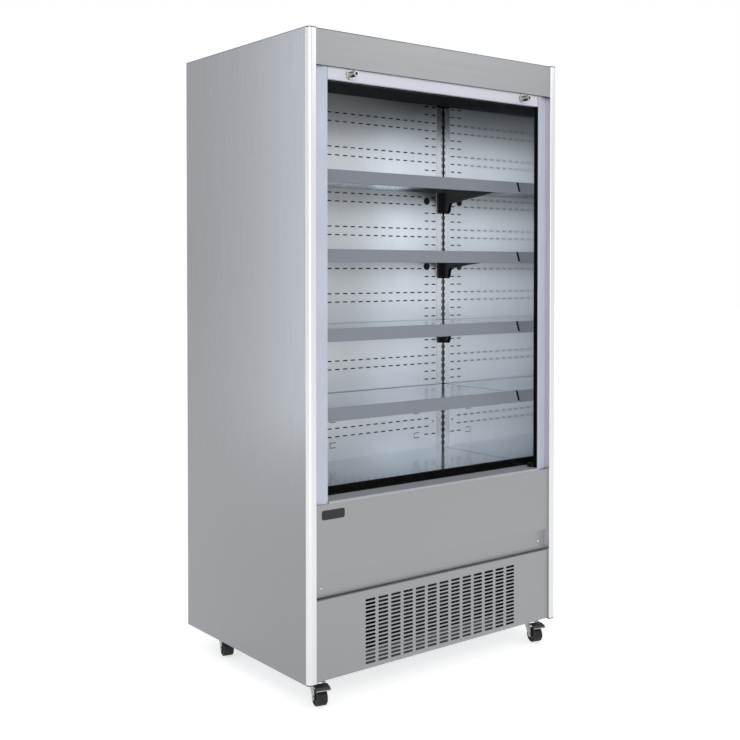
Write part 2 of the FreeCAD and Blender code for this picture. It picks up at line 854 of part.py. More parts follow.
def sill_stop_left():
    """Black stop on the sill's end, behind the blind's path."""
    x0 = -opening_half + side_gap
    y0 = front + stop_front_depth
    return box(x0, x0 + stop_width, y0, y0 + stop_length, sill_top, sill_top + stop_height)


# ---------------------------------------------------------------- night blind
def blind_bar():
    """Pull bar at the blind's lower edge, with a tongue in each guide."""
    half = opening_half - bar_end_gap
    y0 = front + bar_depth
    y1 = y0 + bar_thickness
    z0 = bar_bottom
    z1 = bar_bottom + bar_height
    section = [(y0, z0 + 6.0), (y0, z1), (y1, z1), (y1, z0), (y0 - 2.0, z0), (y0 - 2.0, z0 + 4.0)]
    body = prism_x(section, -half, half)
    middle = front + jamb_inner_depth + jamb_lip + guide_depth / 2.0
    tongue = box(half, half + bar_end_gap + tongue_reach, middle - tongue_thickness / 2.0,
                 middle + tongue_thickness / 2.0, z0 + 4.0, z1 - 8.0)
    return fused([body, tongue, mirrored(tongue)])


def stud_places():
    z = header_bottom - stud_drop
    return [(sx * (half_width - stud_inset), z) for sx in (-1, 1)]


def bar_studs():
    """Turned metal pull studs, bored at the tip."""
    pieces = []
    y0 = front + bar_depth
    tip = front - stud_reach
    for x, z in stud_places():
        base = cylinder(stud_base_radius, stud_base_length, Vec(x, y0 - stud_base_length, z),
                        Vec(0, 1, 0))
        neck = Part.makeCone(stud_neck_radius, stud_waist_radius, y0 - tip, Vec(x, tip, z),
                             Vec(0, 1, 0))
        bore = cylinder(stud_plug_radius, stud_plug_depth, Vec(x, tip, z), Vec(0, 1, 0))
        pieces.append(fused([base, neck]).cut(bore))
    return group(pieces)


def stud_plugs():
    """Black inserts in the studs' tips."""
    tip = front - stud_reach
    return group([cylinder(stud_plug_radius - bearing_clearance, stud_plug_depth,
                           Vec(x, tip, z), Vec(0, 1, 0)) for x, z in stud_places()])


def blind_roller():
    """Tube that the blind winds on, with a pin at each end."""
    half = opening_half - roller_end_gap
    axis = Vec(1, 0, 0)
    tube = ring(roller_radius, roller_radius - roller_wall, 2 * half,
                Vec(-half, roller_y, roller_height), axis)
    plug = cylinder(roller_radius - roller_wall, 6.0, Vec(-half, roller_y, roller_height), axis)
    pin = cylinder(roller_pin_radius, roller_pin_length,
                   Vec(-half - roller_pin_length, roller_y, roller_height), axis)
    return fused([tube, plug, pin, mirrored(plug), mirrored(pin)])


def roller_brackets():
    """End plates that hang from the roof and carry the roller's pins."""
    x1 = -opening_half + roller_end_gap - fit_gap
    x0 = x1 - bracket_sheet
    y0 = roller_y - roller_bracket_width / 2.0
    y1 = roller_y + roller_bracket_width / 2.0
    hole = cylinder(roller_pin_radius + bearing_clearance, bracket_sheet,
                    Vec(x0, roller_y, roller_height), Vec(1, 0, 0))
    plate = box(x0, x1, y0, y1, roller_height - roller_radius, housing_top).cut(hole)
    foot = box(-opening_half, x0, y0, y1, housing_top - bracket_sheet, housing_top)
    left = fused([plate, foot])
    return group([left, mirrored(left)])


def blind_curtain():
    """Free length of the blind between roller and bar."""
    half = opening_half - roller_end_gap - curtain_side_gap
    y = roller_y - roller_radius - curtain_thickness - fit_gap
    return box(-half, half, y, y + curtain_thickness, bar_bottom + bar_height, roller_height)


# ---------------------------------------------------------------- castors
def castor_axis(depth):
    """Swivel axis of the left castor at a depth."""
    return Vec(-half_width + castor_inset, front + depth, 0)


def placed(shape, axis, sign, turn=0.0):
    """Sets a castor piece, drawn rolling along Y at the origin, at its swivel axis."""
    piece = shape.copy()
    piece.rotate(Vec(0, 0, 0), Vec(0, 0, 1), turn)
    piece.translate(Vec(-sign * axis.x, axis.y, 0))
    return piece


def castor_plate_piece():
    """Fixed top plate with its ball race and kingpin."""
    half = castor_plate_size / 2.0
    plate = box(-half, half, -half, half, castor_height - castor_plate, castor_height)
    race_bottom = castor_height - castor_plate - race_height
    race = cylinder(race_radius, race_height, Vec(0, 0, race_bottom), Vec(0, 0, 1))
    pin_bottom = race_bottom - kingpin_length
    pin = cylinder(kingpin_radius, kingpin_length, Vec(0, 0, pin_bottom), Vec(0, 0, 1))
    head = cylinder(kingpin_head_radius, kingpin_head, Vec(0, 0, pin_bottom), Vec(0, 0, 1))
    return fused([plate, race, pin, head])


fork_top = castor_height - castor_plate - race_height - fit_gap
fork_inner = wheel_width / 2.0 + fork_side_gap
fork_outer = fork_inner + fork_sheet
pedal_pivot_y = -fork_half_length - 5.0
pedal_pivot_z = fork_top - 8.0


def castor_fork():
    """Pressed fork, both legs raked forward to the axle, and the riveted axle."""
    axle_y = -castor_trail
    axle_z = wheel_radius
    hole = cylinder(kingpin_radius + bearing_clearance, fork_sheet,
                    Vec(0, 0, fork_top - fork_sheet), Vec(0, 0, 1))
    crown = box(-fork_outer, fork_outer, -fork_half_length, fork_half_length,
                fork_top - fork_sheet, fork_top).cut(hole)
    leg_section = [(fork_half_length, fork_top), (-fork_half_length, fork_top),
                   (pedal_pivot_y - 6.0, pedal_pivot_z + 2.0), (axle_y - 8.0, axle_z + 2.0),
                   (axle_y - 6.0, axle_z - 7.0), (axle_y + 5.0, axle_z - 8.0),
                   (axle_y + 9.0, axle_z)]
    leg = prism_x(leg_section, fork_inner, fork_outer)
    bore = cylinder(axle_radius + bearing_clearance, fork_sheet, Vec(fork_inner, axle_y, axle_z),
                    Vec(1, 0, 0))
    leg = leg.cut(bore)
    frame = fused([crown, leg, mirrored(leg)])
    axle = cylinder(axle_radius, 2 * fork_outer, Vec(-fork_outer, axle_y, axle_z), Vec(1, 0, 0))
    head = cylinder(axle_radius + 3.0, 2.0, Vec(fork_outer, axle_y, axle_z), Vec(1, 0, 0))
    return [frame, fused([axle, head, mirrored(head)])]


def castor_wheel():
    """Black wheel with a ribbed, square-shouldered tread and dished sides."""
    half = wheel_width / 2.0
    axis = Vec(1, 0, 0)
    centre_y = -castor_trail
    tyre = cylinder(wheel_radius, wheel_width, Vec(-half, centre_y, wheel_radius), axis)
    tyre = tyre.makeChamfer(wheel_chamfer, [e for e in tyre.Edges if len(e.Vertexes) == 1])
    cuts = [cylinder(axle_radius + bearing_clearance, wheel_width,
                     Vec(-half, centre_y, wheel_radius), axis)]
    for k in (-1, 0, 1):
        cuts.append(ring(wheel_radius + 1.0, wheel_radius - wheel_groove, wheel_groove,
                         Vec(k * wheel_width / 5.0 - wheel_groove / 2.0, centre_y, wheel_radius),
                         axis))
    for x in (-half, half - wheel_dish):
        cuts.append(ring(wheel_radius - 6.0, axle_radius + 4.5, wheel_dish,
                         Vec(x, centre_y, wheel_radius), axis))
    return tyre.cut(group(cuts))


def brake_pedal():
    """Brake pedal over the wheel, hinged on a pin between the fork's legs."""
    half = pedal_width / 2.0
    arm_half = fork_inner - pedal_side_gap
    y0 = pedal_pivot_y
    z0 = pedal_pivot_z
    t = pedal_sheet
    neck_y = y0 - 8.0
    bend_y = y0 - pedal_length + 8.0
    tip_y = y0 - pedal_length
    tread_z = z0 + 4.0
    bend_z = tread_z - pedal_drop * 0.35
    tip_z = tread_z - pedal_drop
    tread = prism_x([(neck_y, tread_z), (bend_y, bend_z), (tip_y, tip_z), (tip_y, tip_z + t),
                     (bend_y, bend_z + t), (neck_y, tread_z + t)], -half, half)
    neck = prism_x([(y0 + 2.0, z0 - 3.0), (y0 + 2.0, z0 + 3.0), (neck_y + 1.0, tread_z + t),
                    (neck_y - 6.0, tread_z - 1.0), (neck_y, z0)], -arm_half, arm_half)
    hub = cylinder(pedal_pin_radius + 1.2, 2 * arm_half, Vec(-arm_half, y0, z0), Vec(1, 0, 0))
    bore = cylinder(pedal_pin_radius + bearing_clearance, 2 * arm_half,
                    Vec(-arm_half, y0, z0), Vec(1, 0, 0))
    return fused([tread, neck, hub]).cut(bore)


def pedal_pin():
    return cylinder(pedal_pin_radius, 2 * fork_inner,
                    Vec(-fork_inner, pedal_pivot_y, pedal_pivot_z), Vec(1, 0, 0))


# ---------------------------------------------------------------- machinery
def fan_rotor(radius, shaft_length):
    """Hub, shaft and flat pitched blades, turning about Y at the origin."""
    hub = cylinder(hub_radius, blade_width, Vec(0, -blade_width / 2.0, 0), Vec(0, 1, 0))
    shaft = cylinder(shaft_radius, shaft_length, Vec(0, blade_width / 2.0, 0), Vec(0, 1, 0))
    pieces = [hub, shaft]
    for k in range(blade_count):
        blade = box(-blade_width / 2.0, blade_width / 2.0, -blade_sheet / 2.0, blade_sheet / 2.0,
                    hub_radius - 4.0, radius)
        blade.rotate(Vec(0, 0, 0), Vec(0, 0, 1), 32.0)
        blade.rotate(Vec(0, 0, 0), Vec(0, 1, 0), 360.0 / blade_count * k)
        pieces.append(blade)
    return fused(pieces)


def fan_mount(radius, depth, plate_half_x, plate_z0, plate_z1, centres):
    """Sheet with a round opening, motor and spider for each rotor."""
    y0 = depth
    sheet = fan_sheet
    plate = box(-plate_half_x, plate_half_x, y0, y0 + sheet, plate_z0, plate_z1)
    for cx, cz in centres:
        plate = plate.cut(cylinder(radius + fan_tip_gap, sheet, Vec(cx, y0, cz), Vec(0, 1, 0)))
    pieces = [plate]
    for cx, cz in centres:
        motor_y = y0 + blade_width / 2.0 + 6.0
        motor = ring(motor_radius, shaft_radius + bearing_clearance, motor_length,
                     Vec(cx, motor_y, cz), Vec(0, 1, 0))
        reach = radius + fan_tip_gap + spider_foot + 3.0
        for turn in (45.0, 135.0, 225.0, 315.0):
            arm = box(motor_radius - 1.0, reach, motor_y + 4.0, motor_y + 7.0, -3.0, 3.0)
            foot = box(reach - spider_foot, reach, y0 + sheet, motor_y + 7.0, -3.0, 3.0)
            for piece in (arm, foot):
                piece.rotate(Vec(0, 0, 0), Vec(0, 1, 0), turn)
                piece.translate(Vec(cx, 0, cz))
                pieces.append(piece)
        pieces.append(motor)
    return fused(pieces)


base_floor = body_bottom + base_sheet
condenser_y0 = front + post_back + base_sheet + condenser_gap
condenser_y1 = condenser_y0 + condenser_depth
condenser_fan_z = base_floor + condenser_height / 2.0
shroud_y = condenser_y1 + shroud_depth
fan_shaft_length = motor_length


def condenser():
    """Finned condenser block with its fan shroud, fan plate and motor."""
    half = condenser_width / 2.0
    x = louvre_shift
    z1 = base_floor + condenser_height
    core = box(-half, half, condenser_y0, condenser_y1, base_floor, z1)
    grooves = []
    for k in range(1, int(condenser_width / fin_pitch)):
        gx = -half + fin_pitch * k
        grooves.append(box(gx, gx + fin_groove, condenser_y0, condenser_y0 + fin_depth,
                           base_floor + fin_edge, z1 - fin_edge))
    core = core.cut(group(grooves))
    sheet = fan_sheet
    duct = box(-half, half, condenser_y1, shroud_y, base_floor, z1)
    hollow = box(-half + sheet, half - sheet, condenser_y1, shroud_y, base_floor + sheet, z1 - sheet)
    mount = fan_mount(condenser_fan_radius, shroud_y, half, base_floor, z1,
                      [(0.0, condenser_fan_z)])
    pieces = [core, fused([duct.cut(hollow), mount])]
    return group([piece.translated(Vec(x, 0, 0)) for piece in pieces])


def condenser_fan():
    rotor = fan_rotor(condenser_fan_radius, fan_shaft_length)
    return rotor.translated(Vec(louvre_shift, shroud_y + fan_sheet / 2.0, condenser_fan_z))


def compressor():
    """Hermetic compressor on rubber feet, with its terminal box and two stubs."""
    x = compressor_x
    y = front + compressor_middle_depth
    z = base_floor + foot_height
    r = compressor_radius
    dome = 30.0
    shell = cylinder(r, compressor_height - dome, Vec(x, y, z + 4.0), Vec(0, 0, 1))
    cap = cylinder(r, dome, Vec(x, y, z + compressor_height - dome), Vec(0, 0, 1))
    body = fused([shell, cap])
    rims = [e for e in body.Edges if len(e.Vertexes) == 1 and e.Vertexes[0].Z > z + 40.0]
    body = body.makeFillet(dome - 4.0, rims)
    plate = box(x - r - 18.0, x + r + 18.0, y - r + 10.0, y + r - 10.0, z, z + 4.0)
    terminal = box(x - r - 26.0, x - r + 12.0, y - 28.0, y + 28.0, z + 50.0, z + 110.0)
    feet = [cylinder(foot_radius, foot_height, Vec(x + sx * (r + 4.0), y + sy * (r - 24.0),
                                                   base_floor), Vec(0, 0, 1))
            for sx in (-1, 1) for sy in (-1, 1)]
    return group([fused([body, plate, terminal])] + feet)


evaporator_fan_z = floor_top + evaporator_rise + evaporator_height / 2.0
evaporator_fan_y = front + fan_plate_depth


def evaporator():
    """Finned evaporator under the deck, and the baffle with its fan's motor."""
    half = evaporator_width / 2.0
    y0 = front + evaporator_front_depth
    y1 = y0 + evaporator_depth
    z0 = floor_top + evaporator_rise
    z1 = z0 + evaporator_height
    core = box(-half, half, y0, y1, z0, z1)
    grooves = []
    for k in range(1, int(evaporator_width / fin_pitch)):
        gx = -half + fin_pitch * k
        grooves.append(box(gx, gx + fin_groove, y0, y0 + fin_depth, z0 + fin_edge, z1 - fin_edge))
    feet = [box(sx * (half - 20.0) - 10.0, sx * (half - 20.0) + 10.0, y, y + 20.0, floor_top, z0)
            for sx in (-1, 1) for y in (y0 + 10.0, y1 - 30.0)]
    coil = fused([core.cut(group(grooves))] + feet)
    baffle = fan_mount(evaporator_fan_radius, evaporator_fan_y, opening_half,
                       floor_top, deck_top - deck_fold, [(0.0, evaporator_fan_z)])
    return group([coil, baffle])


def evaporator_fan():
    rotor = fan_rotor(evaporator_fan_radius, fan_shaft_length)
    return rotor.translated(Vec(0, evaporator_fan_y + fan_sheet / 2.0, evaporator_fan_z))


def cable_gland():
    """Gland for the supply cable, through the rear sheet, with a collar on each face."""
    inner = Vec(gland_x, back - skin - gland_inner_length, gland_height)
    outer = Vec(gland_x, back, gland_height)
    barrel = cylinder(gland_radius, gland_inner_length + skin + gland_reach, inner, Vec(0, 1, 0))
    collar = cylinder(gland_radius + 3.0, gland_reach * 0.6, outer, Vec(0, 1, 0))
    nut = cylinder(gland_radius + 3.0, 5.0, Vec(gland_x, back - skin - 5.0, gland_height),
                   Vec(0, 1, 0))
    bore = cylinder(gland_bore_radius, gland_inner_length + skin + gland_reach, inner,
                    Vec(0, 1, 0))
    return fused([barrel, collar, nut]).cut(bore)


# ---------------------------------------------------------------- write the pieces
def write_shell():
    save_pair("side_skin", side_skin_left())
    save_pair("corner_post", corner_post_left())
    save("post_caps", post_caps())
    save("roof_skin", roof_skin())
    save("rear_skin", rear_skin())
    save("cabinet_foam", cabinet_foam())
    save("base_frame", base_frame())


def write_cold_space():
    save_pair("side_liner", side_liner_left())
    save("back_panel", back_panel())
    save("back_grommets", back_grommets())
    upright = shelf_upright_left()
    save("shelf_uprights", group([upright, mirrored(upright)]))
    for number, top in enumerate(shelf_tops, start=1):
        save("shelf_%d" % number, shelf(top))
        save("price_rail_%d" % number, price_rail(top))
    save("shelf_brackets", shelf_brackets())
    save("deck", deck())
    save("return_grille", return_grille())
    save("outlet_honeycomb", outlet_honeycomb())
    save("ceiling_panel", ceiling_panel())


def write_front():
    save("header_fascia", folded_panel(header_bottom, overall_height, header_fold, []))
    save("lower_fascia", folded_panel(fascia_bottom, fascia_top, panel_fold, []))
    save("kick_panel", kick_panel())
    save("access_strip", access_strip())
    save("panel_screws", panel_screws())
    save("fascia_badge", fascia_badge())
    save("front_sill", front_sill())
    save_pair("jamb", jamb_left())
    guide = blind_guide_left()
    stop = sill_stop_left()
    save("blind_guides", group([guide, mirrored(guide), stop, mirrored(stop)]))


def write_blind():
    save("blind_bar", blind_bar())
    save("bar_studs", bar_studs())
    save("stud_plugs", stud_plugs())
    save("blind_roller", blind_roller())
    save("roller_brackets", roller_brackets())
    save("blind_curtain", blind_curtain())


def write_castors():
    plates = []
    for place, depth in (("front", castor_front_depth), ("rear", castor_rear_depth)):
        axis = castor_axis(depth)
        for side, sign in (("left", -1), ("right", 1)):
            name = place + "_" + side
            plates.append(placed(castor_plate_piece(), axis, sign))
            fork = castor_fork()
            if place == "front":
                fork.append(pedal_pin())
                save("brake_pedal_" + name, placed(brake_pedal(), axis, sign, castor_turn))
            pieces = [placed(piece, axis, sign, castor_turn) for piece in fork]
            save("castor_fork_" + name, group(pieces))
            save("castor_wheel_" + name, placed(castor_wheel(), axis, sign, castor_turn))
    save("castor_plates", group(plates))


def write_machinery():
    save("condenser", condenser())
    save("condenser_fan", condenser_fan())
    save("compressor", compressor())
    save("evaporator", evaporator())
    save("evaporator_fan", evaporator_fan())
    save("cable_gland", cable_gland())


write_shell()
write_cold_space()
write_front()
write_blind()
write_castors()
write_machinery()
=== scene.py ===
"""Open-front multideck display fridge: its finishes, small fittings and studio stage.

Run as a script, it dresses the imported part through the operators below.
"""
import math

import bmesh
import bpy
from mathutils import Matrix, Vector


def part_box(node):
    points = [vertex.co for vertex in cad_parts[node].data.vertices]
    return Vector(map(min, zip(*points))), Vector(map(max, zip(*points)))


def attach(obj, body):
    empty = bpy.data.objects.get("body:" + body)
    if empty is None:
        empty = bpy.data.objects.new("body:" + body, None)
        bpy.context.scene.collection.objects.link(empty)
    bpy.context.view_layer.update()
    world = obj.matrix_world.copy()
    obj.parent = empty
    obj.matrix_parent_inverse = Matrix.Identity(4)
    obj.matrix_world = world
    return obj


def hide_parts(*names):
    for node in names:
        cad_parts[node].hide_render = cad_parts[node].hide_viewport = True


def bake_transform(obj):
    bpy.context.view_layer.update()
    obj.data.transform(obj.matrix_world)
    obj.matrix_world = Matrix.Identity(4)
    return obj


bl_info = {
    "name": "Multideck Display Fridge",
    "version": (1, 0, 0),
    "blender": (4, 5, 0),
    "location": "3D View > Sidebar > Fridge",
    "description": "Finishes, small fittings and stage of an open-front display fridge",
    "category": "Object",
}

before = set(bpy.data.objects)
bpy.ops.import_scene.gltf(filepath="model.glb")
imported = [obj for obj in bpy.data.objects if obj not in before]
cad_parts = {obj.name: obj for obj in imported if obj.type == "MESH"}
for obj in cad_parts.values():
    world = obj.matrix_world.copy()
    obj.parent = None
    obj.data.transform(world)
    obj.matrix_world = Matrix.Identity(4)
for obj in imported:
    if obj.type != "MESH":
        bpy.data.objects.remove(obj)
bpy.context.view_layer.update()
CASTORS = ("front_left", "front_right", "rear_left", "rear_right")
BRAKED = CASTORS[:2]
NOISE_RANGE = (0.3, 0.7)          # most of a noise texture's values lie between these
# the foam is painted near black, as painted shade, where it lies between these two corners
DUCT_SHADE_LOW = Vector((-0.4485, -0.32, 0.38))
DUCT_SHADE_HIGH = Vector((0.4485, 0.2915, 1.9735))
TOP_EDGE_LINE = (1.998, 2.001)         # heights of the top edges of the outer sheets, drawn with a thin dark line
# height of the header's lower edge, where a thin dark line is painted shadow of the gap below it
HEADER_SHADOW_LINE = (1.892, 1.8945)
# dark grey of those edge lines
EDGE_LINE_GREY = "#4A4C50"
FIN_PITCH = 0.0025
WEAVE_SCALE = 830.0               # radians per metre, so 7.6 mm a wave
RAIL_TOP_DEPTH = 0.0025           # flat top of a ticket rail, front to back
TIP_DEPTH = 0.005                 # a rail tip's size from front to back
TIP_PROUD = 0.0012                # how far a rail tip stands out past its cap
TIP_INSET = Vector((0.0002, 0.0006, 0.0004))  # from the cap's inner, front, lower corner
CASTOR_TURN = math.radians(14.0)  # how far the castors stand turned
PEDAL_TIP_REACH = 0.0005          # vertices this close to a pedal's end make its edge
EDGE_REACH = 0.001                # an edge this close to a box's side lies on it
CAP_EASE = 0.0005                 # width of the rounded edges of a rail's cap
TIP_EASE = 0.0008                 # the same of its tip
CLOTH_CUTS = 30
# place, aim, then width and height of each lamp
KEY_LIGHT = ((-2.4, -4.6, 2.4), (0.0, 0.0, 1.1), (2.8, 4.4))
FRONT_LIGHT = ((3.1, -3.9, 3.5), (0.0, 0.0, 1.5), (1.5, 1.5))
SIDE_LIGHT = ((-2.9, 2.85, 1.7), (-0.5, -0.2, 1.6), (0.5, 3.1))
SIDE_COLOUR = (0.86, 0.92, 1.0)
WORLD_LIGHT = 0.55                # the white surround's strength as light
FLOOR_SIZE = 60.0
FLOOR_SHADE = 0.82                # the floor's grey, as a linear value
FLOOR_LIFT = 0.62                 # makes the lit floor white, and keeps its shadow
# the camera, set to match the photograph
CAMERA_PLACE = (-2.3268, -2.9595, 1.291)
CAMERA_TURN = (math.radians(88.876), 0.0, math.radians(-37.933))
CAMERA_SHIFT = -0.1047


# ------------------------------------------------------------------ sizes and colours
class FridgeFinishes(bpy.types.PropertyGroup):
    """Colours of the cabinet's main finishes, as sRGB hex."""

    side_steel: bpy.props.StringProperty(
        name="Side steel", description="Brushed stainless side sheets", default="#8F9194")
    front_steel: bpy.props.StringProperty(
        name="Front steel", description="Brushed stainless front panels", default="#9B9D9F")
    inner_steel: bpy.props.StringProperty(
        name="Inner steel", description="Bright stainless inside the cold space",
        default="#CBCFD3")
    shelf_steel: bpy.props.StringProperty(
        name="Shelf steel", description="Stainless shelves, seen from above", default="#BEC8D2")
    # the deck is drawn as a darker copy of the shelf steel: painted shade at the foot of the
    # cold space
    deck_shaded_steel: bpy.props.StringProperty(
        name="Deck steel", description="Stainless deck, the lowest surface", default="#A4B1BE")
    # the shelves' underside colour is painted shade, darker and warmer than their tops
    underside_shade_colour: bpy.props.StringProperty(
        name="Underside steel", description="Duller, warmer underside of the shelves",
        default="#5C574C")
    post_metal: bpy.props.StringProperty(
        name="Corner posts", description="Satin anodised aluminium posts", default="#DDDFE0")
    jamb_plastic: bpy.props.StringProperty(
        name="Jambs", description="Pale extruded plastic of the jambs", default="#CFD4E4")
    bar_paint: bpy.props.StringProperty(
        name="Blind bar", description="Powder coat of the blind's pull bar", default="#E3E6F2")
    rail_plastic: bpy.props.StringProperty(
        name="Ticket rails", description="Extruded plastic of the ticket rails",
        default="#878C97")
    brush_length: bpy.props.FloatProperty(
        name="Brush length", description="Length of one brushing mark on the steel",
        default=0.30, min=0.02, max=1.0, subtype="DISTANCE", unit="LENGTH")
    brush_width: bpy.props.FloatProperty(
        name="Brush width", description="Width of one brushing mark, as coarse as it shows",
        default=0.0025, min=0.0002, max=0.02, subtype="DISTANCE", unit="LENGTH")


class FridgeFittings(bpy.types.PropertyGroup):
    """Sizes of the small fittings added to the cabinet."""

    cap_thickness: bpy.props.FloatProperty(
        name="Rail cap", description="Thickness of the cap on each end of a ticket rail",
        default=0.0018, min=0.0005, max=0.0025, subtype="DISTANCE", unit="LENGTH")
    tip_height: bpy.props.FloatProperty(
        name="Rail tip", description="Height of the pale tip under each rail cap",
        default=0.005, min=0.001, max=0.01, subtype="DISTANCE", unit="LENGTH")
    pedal_lip: bpy.props.FloatProperty(
        name="Pedal lip", description="Radius of the rolled edge of a brake pedal",
        default=0.0016, min=0.0005, max=0.003, subtype="DISTANCE", unit="LENGTH")
    cloth_thickness: bpy.props.FloatProperty(
        name="Blind cloth", description="Thickness of the night blind's cloth",
        default=0.0008, min=0.0002, max=0.003, subtype="DISTANCE", unit="LENGTH")


class FridgeStage(bpy.types.PropertyGroup):
    """Studio light and camera."""

    key_power: bpy.props.FloatProperty(
        name="Key light", description="Power of the large soft light from the front left",
        default=72.0, min=0.0, max=500.0, subtype="POWER", unit="POWER")
    front_power: bpy.props.FloatProperty(
        name="Front light", description="Power of the soft light from the front right",
        default=11.0, min=0.0, max=500.0, subtype="POWER", unit="POWER")
    side_power: bpy.props.FloatProperty(
        name="Side light", description="Power of the cool soft light along the left side",
        default=9.0, min=0.0, max=500.0, subtype="POWER", unit="POWER")
    camera_lens: bpy.props.FloatProperty(
        name="Lens", description="Focal length on a 36 mm sensor",
        default=53.07, min=20.0, max=200.0, subtype="DISTANCE_CAMERA")


# ------------------------------------------------------------------ small helpers
def linear(code):
    """An sRGB hex colour as a linear RGBA tuple."""
    values = [int(code[i:i + 2], 16) / 255.0 for i in (1, 3, 5)]
    done = [v / 12.92 if v <= 0.04045 else ((v + 0.055) / 1.055) ** 2.4 for v in values]
    return (*done, 1.0)


def add(tree, kind, settings=None, inputs=None):
    """Adds a node; settings are its own properties, inputs are values or sockets by name."""
    made = tree.nodes.new(kind)
    for name, value in (settings or {}).items():
        setattr(made, name, value)
    for name, value in (inputs or {}).items():
        if isinstance(value, bpy.types.NodeSocket):
            tree.links.new(value, made.inputs[name])
        else:
            made.inputs[name].default_value = value
    return made


def new_material(name):
    """A bare material with a shader and an output; returns it, its tree and its shader."""
    made = bpy.data.materials.new(name)
    made.use_nodes = True
    tree = made.node_tree
    tree.nodes.clear()
    shader = add(tree, "ShaderNodeBsdfPrincipled")
    add(tree, "ShaderNodeOutputMaterial", inputs={"Surface": shader.outputs["BSDF"]})
    return made, tree, shader


def ramp(tree, factor, low, high, start=NOISE_RANGE[0], end=NOISE_RANGE[1]):
    """A factor between start and end, spread from low to high."""
    made = add(tree, "ShaderNodeMapRange", inputs={"Value": factor, "From Min": start,
                                                  "From Max": end, "To Min": low,
                                                  "To Max": high})
    return made.outputs["Result"]


def tinted(tree, factor, first, second):
    """A colour between two linear colours."""
    made = add(tree, "ShaderNodeMix", {"data_type": "RGBA"}, {0: factor, 6: first, 7: second})
    return made.outputs[2]


def shade(colour, amount):
    """A linear colour made darker or lighter by a factor."""
    return (*[min(1.0, c * amount) for c in colour[:3]], 1.0)


def noise(tree, scale, detail, roughness=0.5):
    """Noise on object coordinates; scale is per metre along X, Y and Z."""
    place = add(tree, "ShaderNodeTexCoord")
    mapped = add(tree, "ShaderNodeMapping", inputs={"Vector": place.outputs["Object"],
                                                   "Scale": scale})
    made = add(tree, "ShaderNodeTexNoise", inputs={"Vector": mapped.outputs["Vector"],
                                                  "Scale": 1.0, "Detail": detail,
                                                  "Roughness": roughness})
    return made.outputs["Fac"]


def bumped(tree, shader, height, distance, strength):
    """Feeds a height into the shader's normal; distance is the relief in metres."""
    made = add(tree, "ShaderNodeBump", inputs={"Height": height, "Distance": distance,
                                              "Strength": strength})
    tree.links.new(made.outputs["Normal"], shader.inputs["Normal"])


def band(tree, axis, low, high):
    """One where an object coordinate lies between two values, else zero."""
    place = add(tree, "ShaderNodeTexCoord")
    split = add(tree, "ShaderNodeSeparateXYZ", inputs={"Vector": place.outputs["Object"]})
    middle = (low + high) / 2.0
    made = add(tree, "ShaderNodeMath", {"operation": "COMPARE"},
               {0: split.outputs[axis], 1: middle, 2: (high - low) / 2.0})
    return made.outputs[0]


def seen_directly(tree):
    """One for rays from the camera, from gloss or through glass, else zero."""
    path = add(tree, "ShaderNodeLightPath")
    seen = add(tree, "ShaderNodeMath", {"operation": "MAXIMUM"},
               {0: path.outputs["Is Camera Ray"], 1: path.outputs["Is Glossy Ray"]})
    clear = add(tree, "ShaderNodeMath", {"operation": "MAXIMUM"},
                {0: seen.outputs[0], 1: path.outputs["Is Transmission Ray"]})
    return clear.outputs[0]


def wear(finish, *names):
    """Gives CAD nodes a material."""
    for name in names:
        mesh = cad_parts[name].data
        mesh.materials.clear()
        mesh.materials.append(finish)


# ------------------------------------------------------------------ materials
def brushed_stainless(name, code, roughness, grain, dark_lines):
    """Stainless steel brushed along one axis: fine lines, broad soft reflections.

    The real marks are about 0.2 mm wide; they are drawn wider, because the photograph's
    pixel is over 2 mm. Dark lines are the heights of edges drawn with a thin dark line.
    """
    finish = bpy.context.scene.fridge_finishes
    made, tree, shader = new_material(name)
    across = 1.0 / finish.brush_width
    along = 1.0 / finish.brush_length
    scale = {"Z": (across, across, along), "X": (along, across, across)}[grain]
    lines = noise(tree, scale, detail=4.0, roughness=0.6)
    broad = noise(tree, (1.5, 1.5, 0.9), detail=2.0)
    base = linear(code)
    streaks = tinted(tree, ramp(tree, lines, 0.0, 1.0), shade(base, 0.96), shade(base, 1.03))
    clouds = tinted(tree, ramp(tree, broad, 0.0, 1.0), shade(base, 0.98), shade(base, 1.02))
    colour = tinted(tree, 0.5, streaks, clouds)
    # thin dark lines along edges; the one under the header is painted shadow
    for low, high in dark_lines:
        colour = tinted(tree, band(tree, "Z", low, high), colour, linear(EDGE_LINE_GREY))
    tree.links.new(colour, shader.inputs["Base Color"])
    tree.links.new(ramp(tree, lines, roughness - 0.05, roughness + 0.06),
                   shader.inputs["Roughness"])
    shader.inputs["Metallic"].default_value = 1.0
    bumped(tree, shader, lines, 0.00002, 0.12)
    return made


def polished_stainless(name, code, roughness, underside=None):
    """Bright annealed stainless: a blurred mirror with faint rolling lines.

    Where an underside colour is given, faces that point down take it: painted shade under the
    shelf.
    """
    made, tree, shader = new_material(name)
    lines = noise(tree, (250.0, 250.0, 4.0), detail=3.0)
    haze = noise(tree, (3.0, 3.0, 3.0), detail=2.0)
    base = linear(code)
    colour = tinted(tree, ramp(tree, lines, 0.0, 1.0), shade(base, 0.98), shade(base, 1.01))
    rough = ramp(tree, haze, roughness * 0.9, roughness * 1.15)
    # faces that point down are painted in the underside colour: painted shade
    if underside:
        facing = add(tree, "ShaderNodeNewGeometry")
        split = add(tree, "ShaderNodeSeparateXYZ", inputs={"Vector": facing.outputs["Normal"]})
        facing_down_shade = add(tree, "ShaderNodeMath", {"operation": "LESS_THAN"},
                    {0: split.outputs["Z"], 1: -0.5})
        colour = tinted(tree, facing_down_shade.outputs[0], colour, linear(underside))
    tree.links.new(colour, shader.inputs["Base Color"])
    tree.links.new(rough, shader.inputs["Roughness"])
    shader.inputs["Metallic"].default_value = 1.0
    return made


